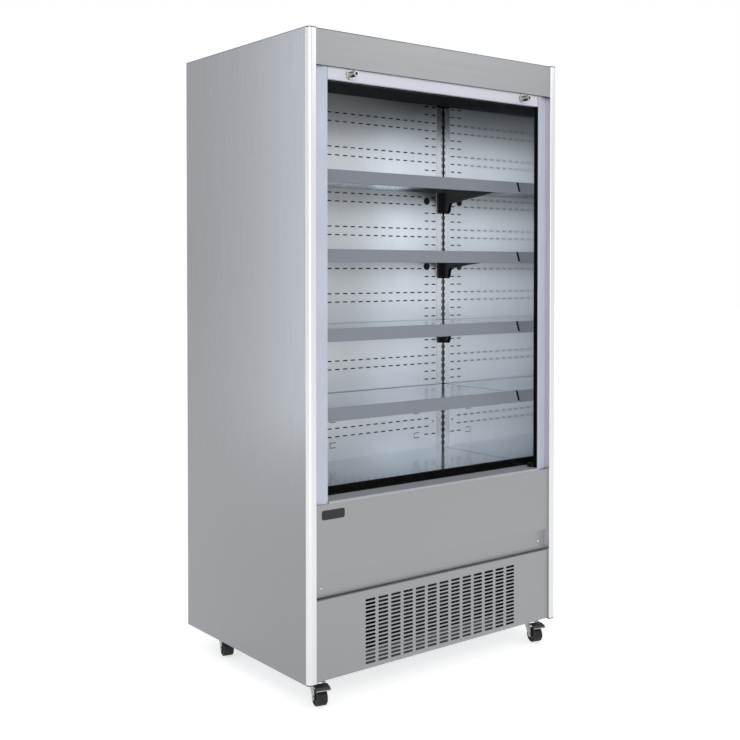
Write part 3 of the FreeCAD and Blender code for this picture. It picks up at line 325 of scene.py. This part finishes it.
def anodised_aluminium(name, code, roughness):
    """Satin anodised extrusion: even, bright, with faint die lines along it."""
    made, tree, shader = new_material(name)
    lines = noise(tree, (900.0, 900.0, 2.0), detail=2.0)
    base = linear(code)
    tree.links.new(tinted(tree, lines, shade(base, 0.97), shade(base, 1.02)),
                   shader.inputs["Base Color"])
    tree.links.new(ramp(tree, lines, roughness - 0.04, roughness + 0.05),
                   shader.inputs["Roughness"])
    shader.inputs["Metallic"].default_value = 1.0
    bumped(tree, shader, lines, 0.00002, 0.5)
    return made


def moulded_plastic(name, code, roughness, grain=0.0008, relief=0.00004, gloss=0.5):
    """Moulded or extruded plastic: soft sheen over a fine spark-eroded grain."""
    made, tree, shader = new_material(name)
    fine = noise(tree, (1.0 / grain,) * 3, detail=2.0)
    broad = noise(tree, (6.0, 6.0, 6.0), detail=3.0)
    base = linear(code)
    tree.links.new(tinted(tree, ramp(tree, broad, 0.0, 1.0), shade(base, 0.95),
                          shade(base, 1.04)), shader.inputs["Base Color"])
    tree.links.new(ramp(tree, broad, roughness - 0.05, roughness + 0.08),
                   shader.inputs["Roughness"])
    shader.inputs["IOR"].default_value = 1.5
    shader.inputs["Specular IOR Level"].default_value = gloss
    bumped(tree, shader, fine, relief, 0.6)
    return made


def coated_steel(name, code, roughness, gloss=0.5):
    """Powder-coated steel: an even colour with a slight orange-peel surface."""
    made, tree, shader = new_material(name)
    peel = noise(tree, (420.0, 420.0, 420.0), detail=2.0)
    broad = noise(tree, (5.0, 5.0, 5.0), detail=3.0)
    base = linear(code)
    tree.links.new(tinted(tree, ramp(tree, broad, 0.0, 1.0), shade(base, 0.96),
                          shade(base, 1.03)), shader.inputs["Base Color"])
    tree.links.new(ramp(tree, peel, roughness - 0.05, roughness + 0.06),
                   shader.inputs["Roughness"])
    shader.inputs["IOR"].default_value = 1.5
    shader.inputs["Specular IOR Level"].default_value = gloss
    bumped(tree, shader, peel, 0.00006, 0.5)
    return made


def zinc_plated(name, code, roughness):
    """Zinc-plated or galvanised steel: cool, patchy, with a spangle of flat crystals."""
    made, tree, shader = new_material(name)
    place = add(tree, "ShaderNodeTexCoord")
    cells = add(tree, "ShaderNodeTexVoronoi", inputs={"Vector": place.outputs["Object"],
                                                     "Scale": 140.0})
    broad = noise(tree, (25.0, 25.0, 25.0), detail=3.0)
    base = linear(code)
    tree.links.new(tinted(tree, cells.outputs["Distance"], shade(base, 1.08), shade(base, 0.8)),
                   shader.inputs["Base Color"])
    tree.links.new(ramp(tree, broad, roughness - 0.08, roughness + 0.12),
                   shader.inputs["Roughness"])
    shader.inputs["Metallic"].default_value = 1.0
    return made


def turned_plate(name, code):
    """Turned and plated stud: bright, with fine rings round its axis along Y."""
    made, tree, shader = new_material(name)
    rings = noise(tree, (30.0, 2500.0, 30.0), detail=1.0)
    base = linear(code)
    tree.links.new(tinted(tree, rings, shade(base, 0.9), shade(base, 1.05)),
                   shader.inputs["Base Color"])
    tree.links.new(ramp(tree, rings, 0.14, 0.26), shader.inputs["Roughness"])
    shader.inputs["Metallic"].default_value = 1.0
    bumped(tree, shader, rings, 0.00003, 0.5)
    return made


def vulcanised_rubber(name, code):
    """Black rubber: matte, slightly dusty in patches."""
    made, tree, shader = new_material(name)
    fine = noise(tree, (1200.0, 1200.0, 1200.0), detail=2.0)
    dust = noise(tree, (60.0, 60.0, 60.0), detail=4.0)
    base = linear(code)
    tree.links.new(tinted(tree, ramp(tree, dust, 0.0, 1.0, 0.5, 0.8), base,
                          linear("#3A3836")), shader.inputs["Base Color"])
    tree.links.new(ramp(tree, dust, 0.55, 0.8), shader.inputs["Roughness"])
    shader.inputs["IOR"].default_value = 1.52
    bumped(tree, shader, fine, 0.00005, 0.6)
    return made


def blind_weave(name, code):
    """Coated blind cloth: a plain weave, drawn much coarser than the real threads."""
    made, tree, shader = new_material(name)
    place = add(tree, "ShaderNodeTexCoord")
    mapped = add(tree, "ShaderNodeMapping", inputs={"Vector": place.outputs["Object"],
                                                   "Scale": (WEAVE_SCALE,) * 3})
    split = add(tree, "ShaderNodeSeparateXYZ", inputs={"Vector": mapped.outputs["Vector"]})
    weft = add(tree, "ShaderNodeMath", {"operation": "SINE"}, {0: split.outputs["X"]})
    warp = add(tree, "ShaderNodeMath", {"operation": "SINE"}, {0: split.outputs["Z"]})
    cross = add(tree, "ShaderNodeMath", {"operation": "MULTIPLY"},
                {0: weft.outputs[0], 1: warp.outputs[0]})
    base = linear(code)
    tree.links.new(tinted(tree, ramp(tree, cross.outputs[0], 0.0, 1.0, -1.0, 1.0),
                          shade(base, 0.88), shade(base, 1.06)), shader.inputs["Base Color"])
    shader.inputs["Roughness"].default_value = 0.7
    shader.inputs["Sheen Weight"].default_value = 0.2
    bumped(tree, shader, cross.outputs[0], 0.0001, 0.6)
    return made


def rigid_foam(name, code, duct_shade):
    """Cut polyurethane foam: pale, fully matte, with small open cells.

    Where the foam faces the cold space and its air duct, it is painted near black: painted
    shade, the darkness seen through the slots.
    """
    made, tree, shader = new_material(name)
    place = add(tree, "ShaderNodeTexCoord")
    cells = add(tree, "ShaderNodeTexVoronoi", inputs={"Vector": place.outputs["Object"],
                                                     "Scale": 500.0})
    base = linear(code)
    colour = tinted(tree, cells.outputs["Distance"], shade(base, 1.03), shade(base, 0.8))
    inside = add(tree, "ShaderNodeMath", {"operation": "MULTIPLY"},
                 {0: band(tree, "X", DUCT_SHADE_LOW.x, DUCT_SHADE_HIGH.x),
                  1: band(tree, "Y", DUCT_SHADE_LOW.y, DUCT_SHADE_HIGH.y)})
    in_duct_shade = add(tree, "ShaderNodeMath", {"operation": "MULTIPLY"},
                {0: inside.outputs[0],
                 1: band(tree, "Z", DUCT_SHADE_LOW.z, DUCT_SHADE_HIGH.z)})
    # inside the duct region the foam takes the near-black painted shade
    tree.links.new(tinted(tree, in_duct_shade.outputs[0], colour, linear(duct_shade)),
                   shader.inputs["Base Color"])
    shader.inputs["Roughness"].default_value = 0.95
    shader.inputs["Specular IOR Level"].default_value = 0.2
    bumped(tree, shader, cells.outputs["Distance"], 0.0006, 0.6)
    return made


def finned_coil(name, code, metal=1.0):
    """Coil block: thin fins across the block, bare metal unless metal is lowered, with painted
    shade in the gaps between the fins.
    """
    made, tree, shader = new_material(name)
    place = add(tree, "ShaderNodeTexCoord")
    split = add(tree, "ShaderNodeSeparateXYZ", inputs={"Vector": place.outputs["Object"]})
    wave = add(tree, "ShaderNodeMath", {"operation": "MULTIPLY"},
               {0: split.outputs["X"], 1: 2.0 * math.pi / FIN_PITCH})
    # the dark half of each wave is painted shade between the fins
    fins = add(tree, "ShaderNodeMath", {"operation": "SINE"}, {0: wave.outputs[0]})
    base = linear(code)
    tree.links.new(tinted(tree, ramp(tree, fins.outputs[0], 0.0, 1.0, -0.4, 0.6),
                          shade(base, 0.35), shade(base, 1.0)), shader.inputs["Base Color"])
    shader.inputs["Metallic"].default_value = metal
    shader.inputs["Roughness"].default_value = 0.42
    bumped(tree, shader, fins.outputs[0], 0.0006, 0.8)
    return made


def material(name, maker, *values, **more):
    """The material of that name, made once."""
    found = bpy.data.materials.get(name)
    return found or maker(name, *values, **more)


# finishes that several pieces share
BLACK_NYLON = ("Black moulded nylon", moulded_plastic, "#1A1A1B", 0.45)
GALVANISED = ("Galvanised sheet", zinc_plated, "#9EA3A6", 0.42)


# ------------------------------------------------------------------ modelling helpers
def deselect():
    """Leaves nothing selected."""
    for item in bpy.context.selected_objects:
        item.select_set(False)


def start_box(name, low, high):
    """A box at its size and place, ready to be shaped in edit mode."""
    deselect()
    low, high = Vector(low), Vector(high)
    bpy.ops.mesh.primitive_cube_add(size=1.0, location=(low + high) / 2.0)
    piece = bpy.context.object
    piece.name = name
    piece.data.name = name
    piece.scale = high - low
    bpy.ops.object.transform_apply(location=True, rotation=True, scale=True)
    return piece


def start_rod(name, radius, length, sides):
    """A rod along X with its middle at the origin."""
    deselect()
    bpy.ops.mesh.primitive_cylinder_add(vertices=sides, radius=radius, depth=length,
                                        rotation=(0.0, math.pi / 2.0, 0.0))
    piece = bpy.context.object
    piece.name = name
    piece.data.name = name
    bpy.ops.object.transform_apply(location=True, rotation=True, scale=True)
    return piece


def select_edges(piece, wanted):
    """In edit mode, selects the edges whose two ends pass a test."""
    bpy.ops.object.mode_set(mode="EDIT")
    bpy.ops.mesh.select_mode(type="EDGE")
    bpy.ops.mesh.select_all(action="DESELECT")
    shape = bmesh.from_edit_mesh(piece.data)
    for edge in shape.edges:
        edge.select = wanted(edge.verts[0].co, edge.verts[1].co)
    bmesh.update_edit_mesh(piece.data)


def eased(piece, width):
    """Rounds a piece's sharp edges and smooths it."""
    bpy.ops.object.mode_set(mode="OBJECT")
    deselect()
    piece.select_set(True)
    bpy.context.view_layer.objects.active = piece
    bevel = piece.modifiers.new("Eased edges", "BEVEL")
    bevel.width = width
    bevel.segments = 2
    bevel.limit_method = "ANGLE"
    bevel.angle_limit = math.radians(30.0)
    bpy.ops.object.modifier_apply(modifier=bevel.name)
    bpy.ops.object.shade_smooth_by_angle(angle=math.radians(35.0))


def dressed(piece, finish, body=None):
    """Gives a new piece its material and the body it rides on."""
    piece.data.materials.clear()
    piece.data.materials.append(finish)
    if body:
        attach(piece, body)


def copied(piece, name, move):
    """A copy of a piece with its own mesh, moved in the mesh."""
    double = piece.copy()
    double.data = piece.data.copy()
    double.name = name
    double.data.name = name
    double.data.transform(move)
    bpy.context.scene.collection.objects.link(double)
    return double


# ------------------------------------------------------------------ operators
class FRIDGE_OT_shell(bpy.types.Operator):
    """Finishes the outer sheets, posts, insulation and base tray"""

    bl_idname = "fridge.shell"
    bl_label = "Outer Shell"

    def execute(self, context):
        finish = context.scene.fridge_finishes
        wear(material("Brushed stainless side sheet", brushed_stainless, finish.side_steel, 0.24,
                      "Z", [TOP_EDGE_LINE]), "side_skin_left", "side_skin_right", "roof_skin")
        wear(material(*GALVANISED), "rear_skin", "base_frame")
        wear(material("Anodised aluminium post", anodised_aluminium, finish.post_metal, 0.24),
             "corner_post_left", "corner_post_right")
        wear(material("Dark moulded cap", moulded_plastic, "#3A3D42", 0.4), "post_caps")
        # the foam's near-black second colour is painted shade inside the duct
        wear(material("Polyurethane foam", rigid_foam, "#D8CBA0", "#0B0B0C"), "cabinet_foam")
        wear(material(*BLACK_NYLON), "cable_gland")
        return {"FINISHED"}


class FRIDGE_OT_front(bpy.types.Operator):
    """Finishes the header, fascia, access strip, kick panel and their fixings"""

    bl_idname = "fridge.front"
    bl_label = "Front Panels"

    def execute(self, context):
        finish = context.scene.fridge_finishes
        wear(material("Brushed stainless front panel", brushed_stainless, finish.front_steel,
                      0.38, "X", [TOP_EDGE_LINE, HEADER_SHADOW_LINE]), "header_fascia", "lower_fascia",
             "kick_panel", "access_strip")
        wear(material("Bright plated screw", turned_plate, "#C9C9C8"), "panel_screws")
        wear(material("Gloss black badge", moulded_plastic, "#08090A", 0.12, 0.004, 0.00001),
             "fascia_badge")
        wear(material("Light grey coated sill", coated_steel, "#B9BDC4", 0.35), "front_sill")
        return {"FINISHED"}


class FRIDGE_OT_jambs(bpy.types.Operator):
    """Finishes the jambs and the blind's guides"""

    bl_idname = "fridge.jambs"
    bl_label = "Jambs and Guides"

    def execute(self, context):
        finish = context.scene.fridge_finishes
        wear(material("Pale extruded PVC", moulded_plastic, finish.jamb_plastic, 0.35),
             "jamb_left", "jamb_right")
        wear(material("Black extruded guide", moulded_plastic, "#0D0D0E", 0.4, gloss=0.3),
             "blind_guides")
        return {"FINISHED"}


class FRIDGE_OT_cold_space(bpy.types.Operator):
    """Finishes the inner sides, back panel, uprights, brackets, ceiling and grilles"""

    bl_idname = "fridge.cold_space"
    bl_label = "Cold Space"

    def execute(self, context):
        finish = context.scene.fridge_finishes
        inner = finish.inner_steel
        wear(material("Bright stainless liner", polished_stainless, inner, 0.07),
             "side_liner_left", "side_liner_right")
        wear(material("Bright stainless back panel", polished_stainless, inner, 0.34),
             "back_panel")
        wear(material("Bright stainless upright", polished_stainless, "#B4B6B8", 0.25),
             "shelf_uprights")
        # the brackets are drawn dark grey: painted shade under the shelves, on bare steel
        wear(material("Dark coated bracket", coated_steel, "#2A2B2E", 0.35), "shelf_brackets")
        wear(material("Black rubber", vulcanised_rubber, "#0A0A0B"), "back_grommets")
        # the ceiling is drawn near black with little gloss
        wear(material("Black coated ceiling", coated_steel, "#08080A", 0.7, 0.1),
             "ceiling_panel")
        wear(material("Black moulded honeycomb", moulded_plastic, "#0A0A0B", 0.45, gloss=0.2),
             "return_grille", "outlet_honeycomb")
        # the deck's darker colour is painted shade
        wear(material("Stainless deck", polished_stainless, finish.deck_shaded_steel, 0.12), "deck")
        return {"FINISHED"}


class FRIDGE_OT_shelves(bpy.types.Operator):
    """Finishes the shelves and their ticket rails, and caps the rails' ends"""

    bl_idname = "fridge.shelves"
    bl_label = "Shelves"

    def execute(self, context):
        finish = context.scene.fridge_finishes
        # the shelves' undersides are painted darker and warmer: painted shade
        steel = material("Stainless shelf", polished_stainless, finish.shelf_steel, 0.14,
                         finish.underside_shade_colour)
        rail = material("Extruded ticket rail", moulded_plastic, finish.rail_plastic, 0.32)
        for number in range(1, 5):
            wear(steel, "shelf_%d" % number)
            wear(rail, "price_rail_%d" % number)
        self.end_caps(context.scene.fridge_fittings)
        return {"FINISHED"}

    def end_caps(self, sizes):
        """A black cap on each end of every ticket rail, with a pale tip at its foot; the caps'
        black is painted shade of the dark gap at each rail end.
        """
        low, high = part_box("price_rail_1")
        lip = high.y - RAIL_TOP_DEPTH
        cap = start_box("rail_end_shade_cap", (high.x, low.y, low.z),
                        (high.x + sizes.cap_thickness, high.y, high.z))
        select_edges(cap, lambda a, b: min(a.y, b.y) < low.y + EDGE_REACH
                     and min(a.z, b.z) > high.z - EDGE_REACH)
        bpy.ops.transform.translate(value=(0.0, lip - low.y, 0.0))
        eased(cap, CAP_EASE)
        corner = Vector((high.x, low.y, low.z)) + TIP_INSET
        tip = start_box("rail_tip", corner, (high.x + sizes.cap_thickness + TIP_PROUD,
                                             corner.y + TIP_DEPTH, low.z + sizes.tip_height))
        eased(tip, TIP_EASE)
        # the caps are black as painted shade of the gap at the rail ends
        black = material(*BLACK_NYLON)
        white = material("White moulded tip", moulded_plastic, "#E9EAEC", 0.4)
        for model, finish, slot in ((cap, black, "black_plastic"), (tip, white, "sill_paint")):
            for number in range(1, 5):
                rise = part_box("price_rail_%d" % number)[0].z - low.z
                for side, mirror in (("right", 1.0), ("left", -1.0)):
                    move = Matrix.Translation((0.0, 0.0, rise)) @ Matrix.Diagonal(
                        (mirror, 1.0, 1.0, 1.0))
                    piece = copied(model, "%s_%d_%s" % (model.name, number, side), move)
                    if mirror < 0.0:
                        piece.data.flip_normals()
                    dressed(piece, finish, "cabinet")
            bpy.data.objects.remove(model)


class FRIDGE_OT_blind(bpy.types.Operator):
    """Makes the night blind's cloth and finishes its bar, studs and roller"""

    bl_idname = "fridge.blind"
    bl_label = "Night Blind"

    def execute(self, context):
        finish = context.scene.fridge_finishes
        fittings = context.scene.fridge_fittings
        wear(material("Powder-coated pull bar", coated_steel, finish.bar_paint, 0.3),
             "blind_bar")
        wear(material("Turned and plated stud", turned_plate, "#BDBBB6"), "bar_studs")
        wear(material(*BLACK_NYLON), "stud_plugs")
        wear(material("Mill-finish aluminium tube", anodised_aluminium, "#B4B6B9", 0.4),
             "blind_roller")
        wear(material(*GALVANISED), "roller_brackets")
        low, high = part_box("blind_curtain")
        deselect()
        bpy.ops.mesh.primitive_plane_add(size=1.0, location=(0.0, (low.y + high.y) / 2.0,
                                                             (low.z + high.z) / 2.0),
                                         rotation=(math.pi / 2.0, 0.0, 0.0))
        cloth = bpy.context.object
        cloth.name = "blind_cloth"
        cloth.data.name = "blind_cloth"
        cloth.scale = (high.x - low.x, high.z - low.z, 1.0)
        bpy.ops.object.transform_apply(location=True, rotation=True, scale=True)
        bpy.ops.object.mode_set(mode="EDIT")
        bpy.ops.mesh.select_all(action="SELECT")
        bpy.ops.mesh.subdivide(number_cuts=CLOTH_CUTS)
        bpy.ops.object.mode_set(mode="OBJECT")
        wall = cloth.modifiers.new("Cloth", "SOLIDIFY")
        wall.thickness = fittings.cloth_thickness
        wall.offset = 0.0
        bpy.ops.object.modifier_apply(modifier=wall.name)
        dressed(cloth, material("Silver-grey blind weave", blind_weave, "#B3B6BD"))
        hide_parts("blind_curtain")
        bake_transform(cloth)
        return {"FINISHED"}


class FRIDGE_OT_castors(bpy.types.Operator):
    """Finishes the castors and their brake pedals, and rolls the pedals' edges"""

    bl_idname = "fridge.castors"
    bl_label = "Castors"

    def execute(self, context):
        zinc = material("Zinc-plated pressing", zinc_plated, "#A9ABAD", 0.3)
        tread = material("Black rubber tread", vulcanised_rubber, "#0C0C0D")
        pedal = material("Dark coated pedal", coated_steel, "#33353A", 0.35)
        wear(zinc, "castor_plates")
        for name in CASTORS:
            wear(zinc, "castor_fork_" + name)
            wear(tread, "castor_wheel_" + name)
        for name in BRAKED:
            wear(pedal, "brake_pedal_" + name)
        self.pedal_lips(context.scene.fridge_fittings, zinc)
        return {"FINISHED"}

    def pedal_lips(self, sizes, finish):
        """The bright rolled edge along each pedal's tip."""
        ahead = Vector((-math.sin(CASTOR_TURN), -math.cos(CASTOR_TURN), 0.0))
        along = Vector((math.cos(CASTOR_TURN), -math.sin(CASTOR_TURN), 0.0))
        for name in BRAKED:
            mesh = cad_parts["brake_pedal_" + name].data
            reach = max(v.co.dot(ahead) for v in mesh.vertices)
            tips = [v.co for v in mesh.vertices if v.co.dot(ahead) > reach - PEDAL_TIP_REACH]
            middle = sum(tips, Vector()) / len(tips)
            half = max(abs((v - middle).dot(along)) for v in tips)
            radius = sizes.pedal_lip
            lip = start_rod("pedal_lip_" + name, radius, 2.0 * half, 16)
            eased(lip, radius * 0.3)
            low_tip = min(v.z for v in tips)
            place = Matrix.Translation((middle.x, middle.y, low_tip + radius * 0.4)) \
                @ Matrix.Rotation(-CASTOR_TURN, 4, "Z")
            lip.data.transform(place)
            dressed(lip, finish, "brake_pedal_" + name)


class FRIDGE_OT_machinery(bpy.types.Operator):
    """Finishes the refrigeration machinery"""

    bl_idname = "fridge.machinery"
    bl_label = "Machinery"

    def execute(self, context):
        # the condenser is drawn near black: painted shade, the darkness behind the kick panel's
        # louvres
        wear(material("Black-coated condenser fins", finned_coil, "#1C1D1F", 0.0), "condenser")
        wear(material("Aluminium evaporator fins", finned_coil, "#A5A8AA"), "evaporator")
        wear(material("Black moulded fan", moulded_plastic, "#141415", 0.5), "condenser_fan",
             "evaporator_fan")
        wear(material("Black enamelled shell", coated_steel, "#0A0A0B", 0.25), "compressor")
        return {"FINISHED"}


class FRIDGE_OT_stage(bpy.types.Operator):
    """Sets the floor, the soft lights, the white surround and the camera"""

    bl_idname = "fridge.stage"
    bl_label = "Studio Stage"

    def execute(self, context):
        stage = context.scene.fridge_stage
        self.surround(context)
        self.floor()
        self.lamp("key_light", *KEY_LIGHT, stage.key_power)
        self.lamp("front_light", *FRONT_LIGHT, stage.front_power)
        side = self.lamp("side_light", *SIDE_LIGHT, stage.side_power)
        side.data.color = SIDE_COLOUR
        data = bpy.data.cameras.new("camera")
        camera = bpy.data.objects.new("camera", data)
        context.scene.collection.objects.link(camera)
        camera.location = CAMERA_PLACE
        camera.rotation_euler = CAMERA_TURN
        data.sensor_width = 36.0
        data.lens = stage.camera_lens
        data.shift_y = CAMERA_SHIFT
        context.scene.camera = camera
        context.scene.view_settings.view_transform = "Standard"
        return {"FINISHED"}

    def surround(self, context):
        """A white surround for the camera and for reflections, dimmer as light."""
        world = bpy.data.worlds.new("surround")
        world.use_nodes = True
        context.scene.world = world
        tree = world.node_tree
        tree.nodes.clear()
        light = add(tree, "ShaderNodeBackground", inputs={"Color": (1.0, 1.0, 1.0, 1.0),
                                                         "Strength": WORLD_LIGHT})
        white = add(tree, "ShaderNodeBackground", inputs={"Color": (1.0, 1.0, 1.0, 1.0),
                                                         "Strength": 1.0})
        both = add(tree, "ShaderNodeMixShader", inputs={0: seen_directly(tree),
                                                       1: light.outputs[0],
                                                       2: white.outputs[0]})
        add(tree, "ShaderNodeOutputWorld", inputs={"Surface": both.outputs[0]})

    def floor(self):
        """A pale plain floor, white to the camera and in reflections, but for the shadow."""
        deselect()
        bpy.ops.mesh.primitive_plane_add(size=FLOOR_SIZE, location=(0.0, 0.0, 0.0))
        floor = bpy.context.object
        floor.name = "studio_floor"
        made, tree, shader = new_material("White studio floor")
        shader.inputs["Base Color"].default_value = (*[FLOOR_SHADE] * 3, 1.0)
        shader.inputs["Roughness"].default_value = 0.9
        shader.inputs["Specular IOR Level"].default_value = 0.0
        glow = add(tree, "ShaderNodeEmission", inputs={"Color": (1.0, 1.0, 1.0, 1.0),
                                                      "Strength": FLOOR_LIFT})
        lifted = add(tree, "ShaderNodeAddShader", inputs={0: shader.outputs["BSDF"],
                                                         1: glow.outputs[0]})
        both = add(tree, "ShaderNodeMixShader", inputs={0: seen_directly(tree),
                                                       1: shader.outputs["BSDF"],
                                                       2: lifted.outputs[0]})
        output = next(n for n in tree.nodes if n.type == "OUTPUT_MATERIAL")
        tree.links.new(both.outputs[0], output.inputs["Surface"])
        floor.data.materials.append(made)

    def lamp(self, name, place, aim, size, power):
        """A large soft light, of a width and a height, aimed at a point."""
        data = bpy.data.lights.new(name, "AREA")
        data.shape = "RECTANGLE"
        data.size, data.size_y = size
        data.energy = power
        lamp = bpy.data.objects.new(name, data)
        bpy.context.scene.collection.objects.link(lamp)
        lamp.location = place
        lamp.rotation_euler = (Vector(aim) - Vector(place)).to_track_quat("-Z", "Y").to_euler()
        return lamp


class FRIDGE_PT_panel(bpy.types.Panel):
    """Lists the fridge's operators in order"""

    bl_idname = "FRIDGE_PT_panel"
    bl_label = "Display Fridge"
    bl_space_type = "VIEW_3D"
    bl_region_type = "UI"
    bl_category = "Fridge"

    def draw(self, context):
        for maker in STEPS:
            self.layout.operator(maker.bl_idname)


STEPS = (FRIDGE_OT_shell, FRIDGE_OT_front, FRIDGE_OT_jambs, FRIDGE_OT_cold_space,
         FRIDGE_OT_shelves, FRIDGE_OT_blind, FRIDGE_OT_castors, FRIDGE_OT_machinery,
         FRIDGE_OT_stage)
GROUPS = (FridgeFinishes, FridgeFittings, FridgeStage)


def register():
    for item in GROUPS + STEPS + (FRIDGE_PT_panel,):
        bpy.utils.register_class(item)
    bpy.types.Scene.fridge_finishes = bpy.props.PointerProperty(type=FridgeFinishes)
    bpy.types.Scene.fridge_fittings = bpy.props.PointerProperty(type=FridgeFittings)
    bpy.types.Scene.fridge_stage = bpy.props.PointerProperty(type=FridgeStage)


def unregister():
    del bpy.types.Scene.fridge_stage
    del bpy.types.Scene.fridge_fittings
    del bpy.types.Scene.fridge_finishes
    for item in reversed(GROUPS + STEPS + (FRIDGE_PT_panel,)):
        bpy.utils.unregister_class(item)


def main():
    register()
    bpy.ops.fridge.shell()
    bpy.ops.fridge.front()
    bpy.ops.fridge.jambs()
    bpy.ops.fridge.cold_space()
    bpy.ops.fridge.shelves()
    bpy.ops.fridge.blind()
    bpy.ops.fridge.castors()
    bpy.ops.fridge.machinery()
    bpy.ops.fridge.stage()


if __name__ == "__main__":
    main()
